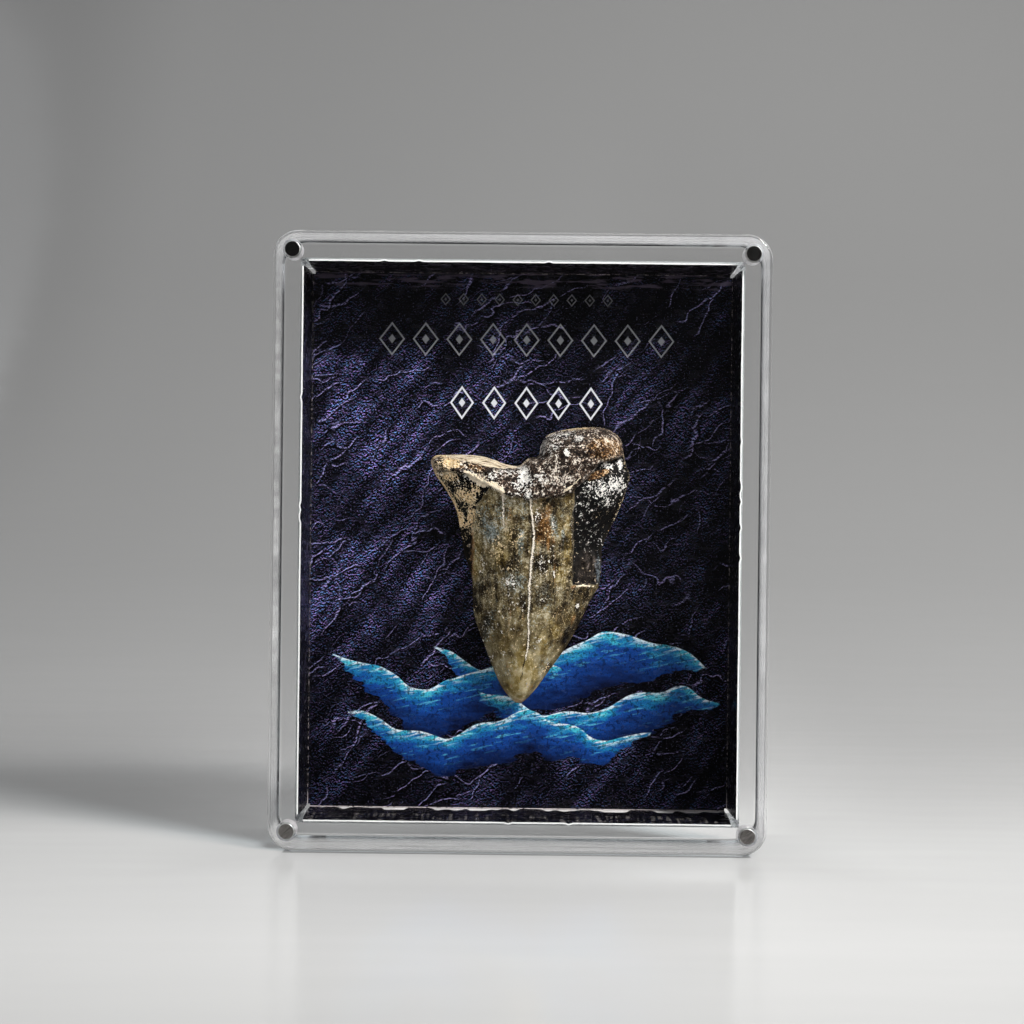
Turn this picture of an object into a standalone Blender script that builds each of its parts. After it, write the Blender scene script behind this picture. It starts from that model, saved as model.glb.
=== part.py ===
"""Fossil shark tooth in its clear magnetic display box.

The box stands on its lower edge. Its front faces -Y, +X is to the right seen from the
front, +Z is up, and the origin is under the middle of the box. Lengths are in metres.
"""

import math
import random

import bmesh
import bpy
from mathutils import Vector, kdtree, noise
from mathutils.geometry import interpolate_bezier

MM = 0.001
GAP = 0.3 * MM  # air between pieces that touch in the real object

# Clear box: a thick body with a cavity, and a flat cover in front of it.
BOX_WIDTH = 115 * MM
BOX_HEIGHT = 143 * MM
BOX_DEPTH = 28 * MM
COVER_THICKNESS = 4 * MM
BACK_WALL = 4 * MM
BORDER = 6.1 * MM  # clear wall between the cavity and the outside
CORNER_RADIUS = 5.8 * MM
CORNER_STEPS = 7
OUTER_RIM = (0.9 * MM, 2)  # width and steps of the rounding of the front and back rims
MATING_RIM = (0.25 * MM, 1)  # of the rims where cover and body meet

FRONT = -BOX_DEPTH / 2
COVER_BACK = FRONT + COVER_THICKNESS
BODY_FRONT = COVER_BACK + GAP
BACK = BOX_DEPTH / 2
CAVITY_FLOOR = BACK - BACK_WALL

# Disc magnets, one pair at each corner, in blind pockets of the two mating faces.
MAGNET_RADIUS = 2.0 * MM
MAGNET_INSET = 4.25 * MM  # from the outside of the box to a magnet's axis
COVER_MAGNET_THICKNESS = 2.0 * MM
BODY_MAGNET_THICKNESS = 2.4 * MM
MAGNET_RECESS = 0.1 * MM  # below the mating face
MAGNET_STEPS = 20

# Card tray: one sheet, folded into a back panel and four flaps.
CARD_THICKNESS = 0.5 * MM
CARD_FRONT = BODY_FRONT + GAP
FLAP_END_GAP = 0.9 * MM  # how far a flap's ends stop short of the corner
CARD_INWARD = -1  # the card's thickness goes into the cavity from its outer face

# Tooth. Its outline is given in millimetres, x and z as it hangs in the box, clockwise
# from the outer corner of the left root lobe.
TOOTH_OUTLINE = [
    (-21.2, 91.2), (-17.4, 92.0), (-11.4, 92.0), (-8.1, 91.5), (-0.9, 89.5), (2.0, 91.5),
    (4.2, 92.0), (4.7, 94.3), (6.4, 97.0), (12.1, 98.6), (18.3, 99.0), (21.2, 98.3),
    (23.6, 96.4), (24.5, 93.0), (25.1, 90.2), (26.1, 87.5), (24.9, 82.9), (23.3, 78.6),
    (21.0, 73.5), (19.7, 70.2), (19.5, 65.4), (19.0, 61.1), (17.3, 58.2), (15.0, 53.2),
    (11.7, 46.9), (6.6, 39.5), (3.1, 34.8), (0.2, 32.6), (-2.3, 34.3), (-4.6, 37.7),
    (-8.1, 46.2), (-10.8, 54.1), (-11.4, 62.7), (-13.1, 67.9), (-14.3, 74.3), (-15.4, 79.1),
    (-17.9, 83.8), (-20.5, 87.6),
]
TOOTH_CENTRE = (1.2, 71.9)  # every outline point is in sight of it
TOOTH_TIP = 32.6
GRID = 52  # cells along each side of the two sheets that become its faces
BACK_RIM = 1.0  # inside this distance from the outline the back keeps all its faces
BACK_FLATNESS = math.radians(10)  # further in, faces that bend less than this are joined

# Stations up the tooth from its tip, in millimetres: height above the tip, height of the
# outline over the card, and how far the front face domes out from the outline.
TOOTH_STATIONS = [
    (0.0, 2.2, 0.4), (0.8, 2.4, 1.5), (3.0, 2.7, 2.7), (8.0, 3.1, 4.3), (16.0, 3.6, 6.0),
    (28.0, 4.2, 7.5), (42.0, 4.8, 8.3), (50.0, 5.2, 8.4), (58.0, 5.4, 8.0), (67.0, 5.0, 6.6),
]
CROWN_TOP = (72.0, 84.0)  # between these z the round of the crown turns into the root's
ROOT_ROUNDING = 8.0  # distance from the outline over which the root rounds over
BACK_ROUNDING = 5.0
# Lower edge of the root: it overhangs the crown and climbs over the right lobe.
ROOT_EDGE = [
    (-23.0, 88.6), (-12.5, 87.1), (-8.0, 84.8), (-4.1, 82.5), (2.0, 81.4), (8.4, 82.0),
    (11.7, 82.9), (15.3, 86.3), (18.8, 90.2), (27.0, 92.4),
]
ROOT_STEP = 1.1  # how far the root stands over the crown
# Left and right edges of the enamel that is left on the crown.
ENAMEL_LEFT = [(52.0, -14.0), (58.0, -12.4), (62.0, -11.2), (74.5, -11.4), (80.0, -10.3), (86.0, -6.0)]
ENAMEL_RIGHT = 12.6
LEFT_STRIP_DEPTH = 1.3
BREAK_DEPTH = 2.0  # of the broken-out zone at the right of the enamel
BREAK_LEDGE = 61.4  # z of the ledge that ends the broken-out zone
# Glassy chunk left standing in the broken-out zone: centre x and z, half sizes, height.
CHUNK = (18.0, 65.2, 3.2, 4.4, 0.8)
# Broken top of the left root lobe: lower edge of the slanting fracture, and its fall.
FRACTURE_EDGE = [(-21.0, 90.6), (-17.4, 90.4), (-12.0, 89.9), (-7.5, 89.0), (-3.0, 88.3), (0.0, 88.4)]
FRACTURE_START = 6.8  # height of that edge over the outline
FRACTURE_FALL = 2.1
# Rounded swellings of the root: x, z, spread along x and z, height.
SWELLINGS = [
    (8.0, 88.0, 8.0, 5.0, 1.6),
    (17.5, 94.0, 6.0, 4.0, 1.5),
    (-14.5, 88.0, 6.0, 3.0, 0.9),
    (-2.0, 85.5, 5.0, 3.0, 0.7),
]
ROOT_PITS = 22
PIT_SEED = 11


def clear_scene():
    for thing in list(bpy.data.objects):
        bpy.data.objects.remove(thing, do_unlink=True)


def new_collection(name):
    collection = bpy.data.collections.new(name)
    bpy.context.scene.collection.children.link(collection)
    return collection


def new_material(name, colour, roughness, metallic=0.0, transmission=0.0):
    material = bpy.data.materials.new(name)
    material.use_nodes = True
    shader = material.node_tree.nodes["Principled BSDF"]
    shader.inputs["Base Color"].default_value = (*colour, 1.0)
    shader.inputs["Roughness"].default_value = roughness
    shader.inputs["Metallic"].default_value = metallic
    shader.inputs["Transmission Weight"].default_value = transmission
    shader.inputs["IOR"].default_value = 1.49 if transmission else 1.5
    return material


def add_object(name, mesh_source, collection, material=None):
    mesh = bpy.data.meshes.new(name)
    mesh_source.to_mesh(mesh)
    mesh_source.free()
    thing = bpy.data.objects.new(name, mesh)
    collection.objects.link(thing)
    if material:
        mesh.materials.append(material)
    return thing


def box_mesh(low, high):
    low, high = Vector(low), Vector(high)
    mesh = bmesh.new()
    bmesh.ops.create_cube(mesh, size=1)
    bmesh.ops.scale(mesh, vec=high - low, verts=mesh.verts)
    bmesh.ops.translate(mesh, vec=(low + high) / 2, verts=mesh.verts)
    return mesh


def add_cutter(name, mesh_source, collection):
    cutter = add_object(name, mesh_source, collection)
    cutter.hide_render = True
    cutter.display_type = "WIRE"
    return cutter


def cut(thing, cutter):
    modifier = thing.modifiers.new(cutter.name, "BOOLEAN")
    modifier.operation = "DIFFERENCE"
    modifier.solver = "EXACT"
    modifier.object = cutter


def bevel(mesh, edges, width, steps):
    bmesh.ops.bevel(
        mesh, geom=edges, offset=width, offset_type="OFFSET",
        segments=steps, profile=0.5, affect="EDGES", material=-1,
    )


def rounded_slab(y_front, y_back, front_rim, back_rim):
    """A slab in the XZ plane with round corners; each rim is a width and its steps."""
    slab = box_mesh((-BOX_WIDTH / 2, y_front, 0), (BOX_WIDTH / 2, y_back, BOX_HEIGHT))
    corners = [e for e in slab.edges if abs(e.verts[0].co.y - e.verts[1].co.y) > GAP]
    bevel(slab, corners, CORNER_RADIUS, CORNER_STEPS)
    for y, (width, steps) in ((y_front, front_rim), (y_back, back_rim)):
        rim = [e for e in slab.edges if all(abs(v.co.y - y) < GAP / 10 for v in e.verts)]
        bevel(slab, rim, width, steps)
    return slab


def magnet_places():
    x = BOX_WIDTH / 2 - MAGNET_INSET
    low, high = MAGNET_INSET, BOX_HEIGHT - MAGNET_INSET
    return {
        "top_left": (-x, high),
        "top_right": (x, high),
        "bottom_left": (-x, low),
        "bottom_right": (x, low),
    }


def disc_mesh(radius, y_front, y_back, x, z):
    disc = bmesh.new()
    bmesh.ops.create_cone(
        disc, cap_ends=True, segments=MAGNET_STEPS,
        radius1=radius, radius2=radius, depth=y_back - y_front,
    )
    for v in disc.verts:
        v.co = Vector((v.co.x + x, v.co.z + (y_front + y_back) / 2, z - v.co.y))
    return disc


def make_body(parts, cutters, material):
    body = add_object(
        "acrylic_body", rounded_slab(BODY_FRONT, BACK, MATING_RIM, OUTER_RIM), parts, material
    )
    cavity = box_mesh(
        (-BOX_WIDTH / 2 + BORDER, FRONT, BORDER),
        (BOX_WIDTH / 2 - BORDER, CAVITY_FLOOR, BOX_HEIGHT - BORDER),
    )
    cut(body, add_cutter("cavity_cutter", cavity, cutters))
    pocket_floor = BODY_FRONT + MAGNET_RECESS + BODY_MAGNET_THICKNESS + GAP
    for place, (x, z) in magnet_places().items():
        pocket = disc_mesh(MAGNET_RADIUS + GAP, BODY_FRONT - MM, pocket_floor, x, z)
        cut(body, add_cutter("body_pocket_" + place, pocket, cutters))


def make_cover(parts, cutters, material):
    cover = add_object(
        "acrylic_cover", rounded_slab(FRONT, COVER_BACK, OUTER_RIM, MATING_RIM), parts, material
    )
    pocket_floor = COVER_BACK - MAGNET_RECESS - COVER_MAGNET_THICKNESS - GAP
    for place, (x, z) in magnet_places().items():
        pocket = disc_mesh(MAGNET_RADIUS + GAP, pocket_floor, COVER_BACK + MM, x, z)
        cut(cover, add_cutter("cover_pocket_" + place, pocket, cutters))


def make_magnets(parts, material):
    for place, (x, z) in magnet_places().items():
        back = COVER_BACK - MAGNET_RECESS
        front = BODY_FRONT + MAGNET_RECESS
        for name, y_front, y_back in (
            ("cover_magnet_", back - COVER_MAGNET_THICKNESS, back),
            ("body_magnet_", front, front + BODY_MAGNET_THICKNESS),
        ):
            disc = disc_mesh(MAGNET_RADIUS, y_front, y_back, x, z)
            magnet = add_object(name + place, disc, parts, material)
            magnet.data.shade_smooth()
            magnet.data.set_sharp_from_angle(angle=math.radians(40))


def make_card_tray(parts, material):
    """A flat net of a panel and four flaps, whose flaps are then folded forward."""
    half = BOX_WIDTH / 2 - BORDER - GAP
    low, high = BORDER + GAP, BOX_HEIGHT - BORDER - GAP
    panel = CAVITY_FLOOR - GAP
    # Lines of the net: flap edge, fold and flap end, and the same again from the other side.
    x_lines = [-half, -half, -half + FLAP_END_GAP, half - FLAP_END_GAP, half, half]
    z_lines = [low, low, low + FLAP_END_GAP, high - FLAP_END_GAP, high, high]
    cells, middle = 5, 2
    net = bmesh.new()
    bmesh.ops.create_grid(net, x_segments=cells, y_segments=cells, size=cells / 2)
    unused = []
    for face in net.faces:
        centre = face.calc_center_median()
        column, row = (int(c + cells / 2) for c in centre.xy)
        outer = column in (0, cells - 1) or row in (0, cells - 1)
        if outer and middle not in (column, row):
            unused.append(face)
    bmesh.ops.delete(net, geom=unused, context="FACES")
    for v in net.verts:
        column, row = (round(c + cells / 2) for c in v.co.xy)
        on_flap_edge = column in (0, cells) or row in (0, cells)
        v.co = Vector((x_lines[column], CARD_FRONT if on_flap_edge else panel, z_lines[row]))
    bmesh.ops.recalc_face_normals(net, faces=net.faces)
    tray = add_object("card_tray", net, parts, material)
    solidify = tray.modifiers.new("card_thickness", "SOLIDIFY")
    solidify.thickness = CARD_THICKNESS
    solidify.offset = CARD_INWARD
    solidify.use_even_offset = True
    return tray


def smoothstep(low, high, value):
    t = min(max((value - low) / (high - low), 0.0), 1.0)
    return t * t * (3 - 2 * t)


def along(stations, value, column=1):
    """Reads a column of a list of stations at a place between them."""
    if value <= stations[0][0]:
        return stations[0][column]
    for (a, b) in zip(stations, stations[1:]):
        if value <= b[0]:
            t = (value - a[0]) / (b[0] - a[0])
            return a[column] + (b[column] - a[column]) * t
    return stations[-1][column]


def closed_curve(points, steps):
    """A smooth closed line through the points, with even steps along its length."""
    dense = []
    count = len(points)
    for i in range(count):
        before, start, end, after = (Vector((*points[(i + k) % count], 0)) for k in (-1, 0, 1, 2))
        reach = (end - start).length / 3
        leave = start + (end - before).normalized() * reach
        arrive = end - (after - start).normalized() * reach
        dense += interpolate_bezier(start, leave, arrive, end, 12)[:-1]
    dense.append(dense[0])
    lengths = [0.0]
    for a, b in zip(dense, dense[1:]):
        lengths.append(lengths[-1] + (b - a).length)
    line, k = [], 0
    for i in range(steps):
        wanted = lengths[-1] * i / steps
        while lengths[k + 1] < wanted:
            k += 1
        t = (wanted - lengths[k]) / (lengths[k + 1] - lengths[k])
        point = dense[k].lerp(dense[k + 1], t)
        line.append((point.x, point.y))
    return line


def root_pits():
    """Centre, radius and depth of each pit of the root."""
    draw = random.Random(PIT_SEED)
    pits = []
    while len(pits) < ROOT_PITS:
        x, z = draw.uniform(-18, 24), draw.uniform(83, 97)
        if z > along(ROOT_EDGE, x) + 1:
            pits.append((x, z, draw.uniform(0.9, 1.7), draw.uniform(0.35, 0.8)))
    return pits


class Outline:
    """The tooth's outline as even steps, with its distance and its width at a height."""

    def __init__(self):
        self.steps = closed_curve(TOOTH_OUTLINE, 4 * GRID)
        self.fine = closed_curve(TOOTH_OUTLINE, 16 * GRID)
        self.tree = kdtree.KDTree(len(self.fine))
        for i, (x, z) in enumerate(self.fine):
            self.tree.insert((x, z, 0), i)
        self.tree.balance()

    def distance(self, x, z):
        return self.tree.find((x, z, 0))[2]

    def sides(self, z):
        """Left and right x of the crown at a height."""
        low, high = TOOTH_CENTRE[0], TOOTH_CENTRE[0]
        for (ax, az), (bx, bz) in zip(self.fine, self.fine[1:] + self.fine[:1]):
            if (az - z) * (bz - z) <= 0 and az != bz:
                x = ax + (bx - ax) * (z - az) / (bz - az)
                low, high = min(low, x), max(high, x)
        return low, high


def tooth_front(x, z, outline, sides, pits):
    """Height of the front face over the card."""
    up = z - TOOTH_TIP
    edge = outline.distance(x, z)
    rim = smoothstep(0, 1.2, edge)
    in_root = smoothstep(-0.7, 0.7, z - along(ROOT_EDGE, x))
    low, high = sides
    across = (2 * x - low - high) / max(high - low, 0.5)
    crown_dome = 1 - min(abs(across), 1.0) ** 2.3
    rounding = 1 - min(edge / ROOT_ROUNDING, 1.0)
    root_dome = (1 - rounding ** 2) ** 0.6
    to_root = smoothstep(*CROWN_TOP, z)
    dome = crown_dome * (1 - to_root) + root_dome * to_root
    height = along(TOOTH_STATIONS, up) + along(TOOTH_STATIONS, up, 2) * dome
    left_strip = smoothstep(0.4, -0.4, x - along(ENAMEL_LEFT, z)) * smoothstep(54, 60, z)
    broken = smoothstep(-0.4, 0.4, x - ENAMEL_RIGHT) * smoothstep(-0.3, 0.3, z - BREAK_LEDGE)
    loss = max(LEFT_STRIP_DEPTH * left_strip, BREAK_DEPTH * broken)
    chunk_x, chunk_z, half_x, half_z, rise = CHUNK
    chunk = max(0.0, 1 - max(abs(x - chunk_x) / half_x, abs(z - chunk_z) / half_z))
    loss -= min(rise, 2.2 * rise * chunk) * broken
    height -= loss * (1 - in_root) * rim
    height += ROOT_STEP * in_root * rim
    for sx, sz, wide, tall, rise in SWELLINGS:
        height += rise * math.exp(-((x - sx) / wide) ** 2 - ((z - sz) / tall) ** 2) * in_root * rim
    rough = noise.noise(Vector((x * 0.28, z * 0.28, 3.1)))
    fine = noise.noise(Vector((x * 0.7, z * 0.7, 8.4)))
    height += (0.25 * rough + (0.05 + 0.45 * in_root + 0.25 * broken) * fine) * rim
    for px, pz, radius, depth in pits:
        reach = math.hypot(x - px, z - pz) / radius
        height -= depth * (1 - smoothstep(0.3, 1.0, reach)) * rim
    over = z - along(FRACTURE_EDGE, x)
    if x < FRACTURE_EDGE[-1][0] and over > 0:
        height = min(height, along(TOOTH_STATIONS, up) + FRACTURE_START - FRACTURE_FALL * over)
    return max(height, along(TOOTH_STATIONS, up) + 0.1 * rim)


def tooth_back(x, z, outline):
    """Height of the back face over the card: nearly flat, and round towards the outline."""
    edge = outline.distance(x, z)
    hollow = 0.25 * (1 + noise.noise(Vector((x * 0.2, z * 0.2, 5.5))))
    away = 1 - min(edge / BACK_ROUNDING, 1.0)
    return along(TOOTH_STATIONS, z - TOOTH_TIP) * away ** 1.8 + hollow * (1 - away)


def make_tooth(parts, material):
    """Two square sheets, drawn out to the outline, become the front and the back face."""
    outline = Outline()
    pits = root_pits()
    card = CAVITY_FLOOR - GAP - CARD_THICKNESS - GAP
    tooth = bmesh.new()
    bmesh.ops.create_grid(tooth, x_segments=GRID, y_segments=GRID, size=1)
    front = list(tooth.verts)
    copy = bmesh.ops.duplicate(tooth, geom=tooth.verts[:] + tooth.edges[:] + tooth.faces[:])["geom"]
    back = [item for item in copy if isinstance(item, bmesh.types.BMVert)]
    bmesh.ops.reverse_faces(tooth, faces=[f for f in copy if isinstance(f, bmesh.types.BMFace)])
    for verts, is_front in ((front, True), (back, False)):
        for v in verts:
            a, b = v.co.x, v.co.y
            square = max(abs(a), abs(b))
            ring = math.sin(square * math.pi / 2) ** 0.9
            x, z = TOOTH_CENTRE
            if square:
                edge_x, edge_z = outline.steps[rim_step(a / square, b / square)]
                x += (edge_x - x) * ring
                z += (edge_z - z) * ring
            if square > 1 - 1e-6:
                height = along(TOOTH_STATIONS, z - TOOTH_TIP)
            elif is_front:
                height = tooth_front(x, z, outline, outline.sides(z), pits)
            else:
                height = tooth_back(x, z, outline)
            v.co = Vector((x * MM, card - height * MM, z * MM))
    bmesh.ops.remove_doubles(tooth, verts=tooth.verts, dist=0.01 * MM)
    plain = [v for v in back if v.is_valid and outline.distance(v.co.x / MM, v.co.z / MM) > BACK_RIM]
    flat_edges = [e for e in tooth.edges if e.verts[0] in plain and e.verts[1] in plain]
    bmesh.ops.dissolve_limit(tooth, angle_limit=BACK_FLATNESS, verts=plain, edges=flat_edges)
    bmesh.ops.triangulate(tooth, faces=tooth.faces)
    thing = add_object("megalodon_tooth", tooth, parts, material)
    thing.data.shade_smooth()
    return thing


def rim_step(a, b):
    """Which of the outline's 4 * GRID steps the point a, b of a square's border goes to."""
    if b >= 1 - 1e-6:
        side, place = 0, (a + 1) / 2
    elif a >= 1 - 1e-6:
        side, place = 1, (1 - b) / 2
    elif b <= -1 + 1e-6:
        side, place = 2, (1 - a) / 2
    else:
        side, place = 3, (b + 1) / 2
    return round((side + place) * GRID) % (4 * GRID)


def main():
    clear_scene()
    parts = new_collection("megalodon_tooth_display")
    cutters = new_collection("cutters")
    acrylic = new_material("clear_acrylic", (0.96, 0.97, 0.98), 0.03, transmission=1.0)
    steel = new_material("magnet_steel", (0.22, 0.22, 0.23), 0.45, metallic=0.9)
    card = new_material("printed_card", (0.02, 0.02, 0.04), 0.4)
    enamel = new_material("fossil_enamel", (0.20, 0.17, 0.10), 0.3)
    make_body(parts, cutters, acrylic)
    make_cover(parts, cutters, acrylic)
    make_magnets(parts, steel)
    make_card_tray(parts, card)
    make_tooth(parts, enamel)


main()
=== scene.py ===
import math
import random

import bmesh
import bpy
from mathutils import Matrix, Vector, kdtree, noise
from mathutils.geometry import interpolate_bezier


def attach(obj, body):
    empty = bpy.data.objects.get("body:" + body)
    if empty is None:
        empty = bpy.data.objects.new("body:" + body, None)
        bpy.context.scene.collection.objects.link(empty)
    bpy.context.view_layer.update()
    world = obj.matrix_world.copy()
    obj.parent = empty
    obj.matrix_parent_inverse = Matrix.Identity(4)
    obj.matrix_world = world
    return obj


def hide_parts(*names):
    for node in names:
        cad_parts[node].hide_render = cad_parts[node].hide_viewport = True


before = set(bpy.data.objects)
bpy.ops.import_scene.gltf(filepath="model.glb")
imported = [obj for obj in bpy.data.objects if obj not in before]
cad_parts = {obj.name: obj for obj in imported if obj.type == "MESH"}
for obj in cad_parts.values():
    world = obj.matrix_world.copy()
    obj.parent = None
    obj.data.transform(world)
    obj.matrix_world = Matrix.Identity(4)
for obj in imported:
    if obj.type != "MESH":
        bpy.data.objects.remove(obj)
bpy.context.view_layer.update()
mm = 0.001


class Wire:  # an output socket; arithmetic on it adds Math nodes
    def __init__(self, tree, socket=None):
        self.tree = tree
        self.socket = socket

    def node(self, kind, settings=None, inputs=None, output=0):
        made = self.tree.nodes.new("ShaderNode" + kind)
        for name, value in (settings or {}).items():
            if name == "stops":
                fillRamp(made.color_ramp, value)
            else:
                setattr(made, name, value)
        for name, value in (inputs or {}).items():
            if isinstance(value, Wire):
                self.tree.links.new(value.socket, made.inputs[name])
            else:
                made.inputs[name].default_value = value
        return Wire(self.tree, made.outputs[output])

    def maths(self, operation, *values):
        return self.node("Math", {"operation": operation}, dict(enumerate(values)))

    def __add__(self, other):
        return self.maths("ADD", self, other)

    def __sub__(self, other):
        return self.maths("SUBTRACT", self, other)

    def __rsub__(self, other):
        return self.maths("SUBTRACT", other, self)

    def __mul__(self, other):
        return self.maths("MULTIPLY", self, other)

    def __truediv__(self, other):
        return self.maths("DIVIDE", self, other)

    def __pow__(self, other):
        return self.maths("POWER", self, other)

    def __abs__(self):
        return self.maths("ABSOLUTE", self)

    __radd__ = __add__
    __rmul__ = __mul__


def fillRamp(ramp, stops):
    while len(ramp.elements) < len(stops):
        ramp.elements.new(0.5)
    for element, (place, *colour) in zip(ramp.elements, stops):
        element.position = place
        element.color = (*colour, 1)


def step(value, low, high):  # smooth step from 0 at low to 1 at high
    return value.node("MapRange", {"interpolation_type": "SMOOTHSTEP"}, {0: value, 1: low, 2: high})


def ramp(value, stops):  # rows of place, red, green and blue
    return value.node("ValToRGB", {"stops": stops}, {0: value})


def mix(factor, a, b, how="MIX"):  # colours
    a, b = (c if isinstance(c, Wire) else (*c, 1) for c in (a, b))
    return factor.node("Mix", {"data_type": "RGBA", "blend_type": how}, {0: factor, 6: a, 7: b}, 2)


def larger(a, b):
    return a.maths("MAXIMUM", a, b)


def smaller(a, b):
    return a.maths("MINIMUM", a, b)


def shifted(place, by):
    return place.node("VectorMath", {"operation": "ADD"}, {0: place, 1: by})


def stretched(place, by):
    return place.node("VectorMath", {"operation": "MULTIPLY"}, {0: place, 1: by})


def turned(place, degrees, axis="Y_AXIS"):
    settings = {"rotation_type": axis}
    return place.node("VectorRotate", settings, {"Vector": place, "Angle": math.radians(degrees)})


def grain(place, scale, detail=2.0, rough=0.5, warp=0.0, output=0):  # noise, scale per unit of place
    inputs = {"Vector": place, "Scale": scale, "Detail": detail, "Roughness": rough, "Distortion": warp}
    return place.node("TexNoise", {}, inputs, output)


def flatGrain(place, scale, detail=2.0, rough=0.5, output=0):  # noise over x and y alone
    inputs = {"Vector": place, "Scale": scale, "Detail": detail, "Roughness": rough}
    return place.node("TexNoise", {"noise_dimensions": "2D"}, inputs, output)


def cells(place, scale, feature="F1", flat=False):
    settings = {"feature": feature, "voronoi_dimensions": "2D" if flat else "3D"}
    return place.node("TexVoronoi", settings, {"Vector": place, "Scale": scale})


def attribute(w, name):
    return w.node("Attribute", {"attribute_name": name}, output=2)


def objectPlace(w):  # object coordinates in millimetres
    place = w.node("TexCoord", output=3)
    return stretched(place, (1000, 1000, 1000))


def parts(place):
    return [place.node("SeparateXYZ", {}, {0: place}, i) for i in range(3)]


def bump(height, distance, strength=1.0):
    return height.node("Bump", {}, {"Strength": strength, "Distance": distance, "Height": height})


def newMaterial(name):
    material = bpy.data.materials.new(name)
    material.use_nodes = True
    material.node_tree.nodes.clear()
    return material, Wire(material.node_tree)


def principled(w, **inputs):
    return w.node("BsdfPrincipled", {}, {name.replace("_", " "): value for name, value in inputs.items()})


def toOutput(w, surface, volume=None):
    inputs = {"Surface": surface} if volume is None else {"Surface": surface, "Volume": volume}
    made = w.tree.nodes.new("ShaderNodeOutputMaterial")
    for name, value in inputs.items():
        w.tree.links.new(value.socket, made.inputs[name])


def newObject(name, mesh, *materials):
    data = bpy.data.meshes.new(name)
    mesh.to_mesh(data)
    mesh.free()
    thing = bpy.data.objects.new(name, data)
    bpy.context.scene.collection.objects.link(thing)
    for material in materials:
        data.materials.append(material)
    return thing


def boxMesh(low, high):
    low, high = Vector(low), Vector(high)
    mesh = bmesh.new()
    bmesh.ops.create_cube(mesh, size=1)
    bmesh.ops.scale(mesh, vec=high - low, verts=mesh.verts)
    bmesh.ops.translate(mesh, vec=(low + high) / 2, verts=mesh.verts)
    return mesh


def bevel(mesh, edges, width, steps):
    bmesh.ops.bevel(mesh, geom=edges, offset=width, offset_type="OFFSET", segments=steps,
                    profile=0.5, affect="EDGES", material=-1)


def smoothFinish(thing, angle):
    thing.data.shade_smooth()
    thing.data.set_sharp_from_angle(angle=math.radians(angle))
    thing.modifiers.new("flatFaces", "WEIGHTED_NORMAL").keep_sharp = True


def paintFaces(mesh, limit, side, end):  # material numbers of faces that look sideways, and along Y
    for face in mesh.faces:
        face.normal_update()
        face.material_index = side if abs(face.normal.y) < limit else end


def fasten(piece, node):
    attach(piece, "root")
    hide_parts(node)
    return piece


studio = {
    "place": (-0.00005, -0.4241, 0.0794),
    "turn": (89.885, -0.642, 0.259),
    "lens": 62.73,
    "exposure": 0.0,
    "farGrey": 0.30,  # seen past the sweep, and through the acrylic
    "dimGrey": 0.02,  # what lights the object from all round
    "floorFront": -0.8,
    "floorBack": 0.16,
    "sweepRadius": 0.9,
    "floorLevel": -0.00015,
    "sweepTones": [(0.0, 0.42), (0.02, 0.48), (0.034, 0.51), (0.0909, 0.50), (0.109, 0.48), (0.1455, 0.41),
                   (0.2, 0.35), (0.3636, 0.29), (0.636, 0.26), (1.0, 0.26)],
    "wallTop": 1.6,
    "halfWidth": 1.6,
}

lamps = {
    "key": {"place": (0.72, -0.59, 0.83), "size": (0.30, 0.38), "power": 27.0, "tint": (1, 0.99, 0.97)},
    "overhead": {"place": (0.0, 0.1, 1.15), "size": (1.0, 1.0), "power": 4.0, "tint": (0.98, 0.99, 1)},
    "rear": {"place": (-0.55, 0.75, 0.75), "size": (0.3, 0.5), "power": 1.2, "tint": (0.96, 0.98, 1)},
    "left": {"place": (-0.80, -0.42, 0.30), "size": (0.4, 0.4), "power": 2.0, "tint": (0.98, 0.99, 1)},
    "front": {"place": (0.10, -1.0, 0.22), "size": (0.3, 0.3), "power": 1.0, "tint": (1, 1, 1)},
}


def makeCamera():
    data = bpy.data.cameras.new("view")
    data.lens = studio["lens"]
    data.sensor_width = 36
    data.clip_start = 0.01
    camera = bpy.data.objects.new("view", data)
    camera.location = studio["place"]
    camera.rotation_euler = [math.radians(a) for a in studio["turn"]]
    bpy.context.scene.collection.objects.link(camera)
    bpy.context.scene.camera = camera


def addLamp(name, place, size, power, tint):
    data = bpy.data.lights.new(name, "AREA")
    data.shape = "RECTANGLE"
    data.size, data.size_y = size
    data.energy = power
    data.color = tint
    lamp = bpy.data.objects.new(name, data)
    lamp.location = place
    lamp.rotation_euler = (Vector((0, 0, 0.07)) - Vector(place)).to_track_quat("-Z", "Y").to_euler()
    if name in ("front", "left"):  # light only dull surfaces, so that neither is mirrored in the cover
        lamp.visible_glossy = lamp.visible_transmission = False
    bpy.context.scene.collection.objects.link(lamp)


def mirrored(w):  # 1 for a ray that has been mirrored on its way
    return step(w.node("LightPath", output="Glossy Depth"), 0.2, 0.8)


def makeWorld():
    world = bpy.data.worlds.new("studioAir")
    world.use_nodes = True
    world.node_tree.nodes.clear()
    w = Wire(world.node_tree)
    side, ahead, up = parts(w.node("TexCoord", output="Generated"))
    front = step(ahead, 0.25, -0.25) * step(up, 0.75, 0.45)  # the dark side of the studio
    direct, through, glossy = [w.node("LightPath", output="Is %s Ray" % kind)
                               for kind in ("Camera", "Transmission", "Glossy")]
    seen = larger(direct, larger(through, glossy)) * (1 - mirrored(w) * front)
    strength = seen * (studio["farGrey"] - studio["dimGrey"]) + studio["dimGrey"]
    light = w.node("Background", {}, {"Color": (0.97, 0.98, 1, 1), "Strength": strength})
    made = w.tree.nodes.new("ShaderNodeOutputWorld")
    w.tree.links.new(light.socket, made.inputs["Surface"])
    bpy.context.scene.world = world


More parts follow.
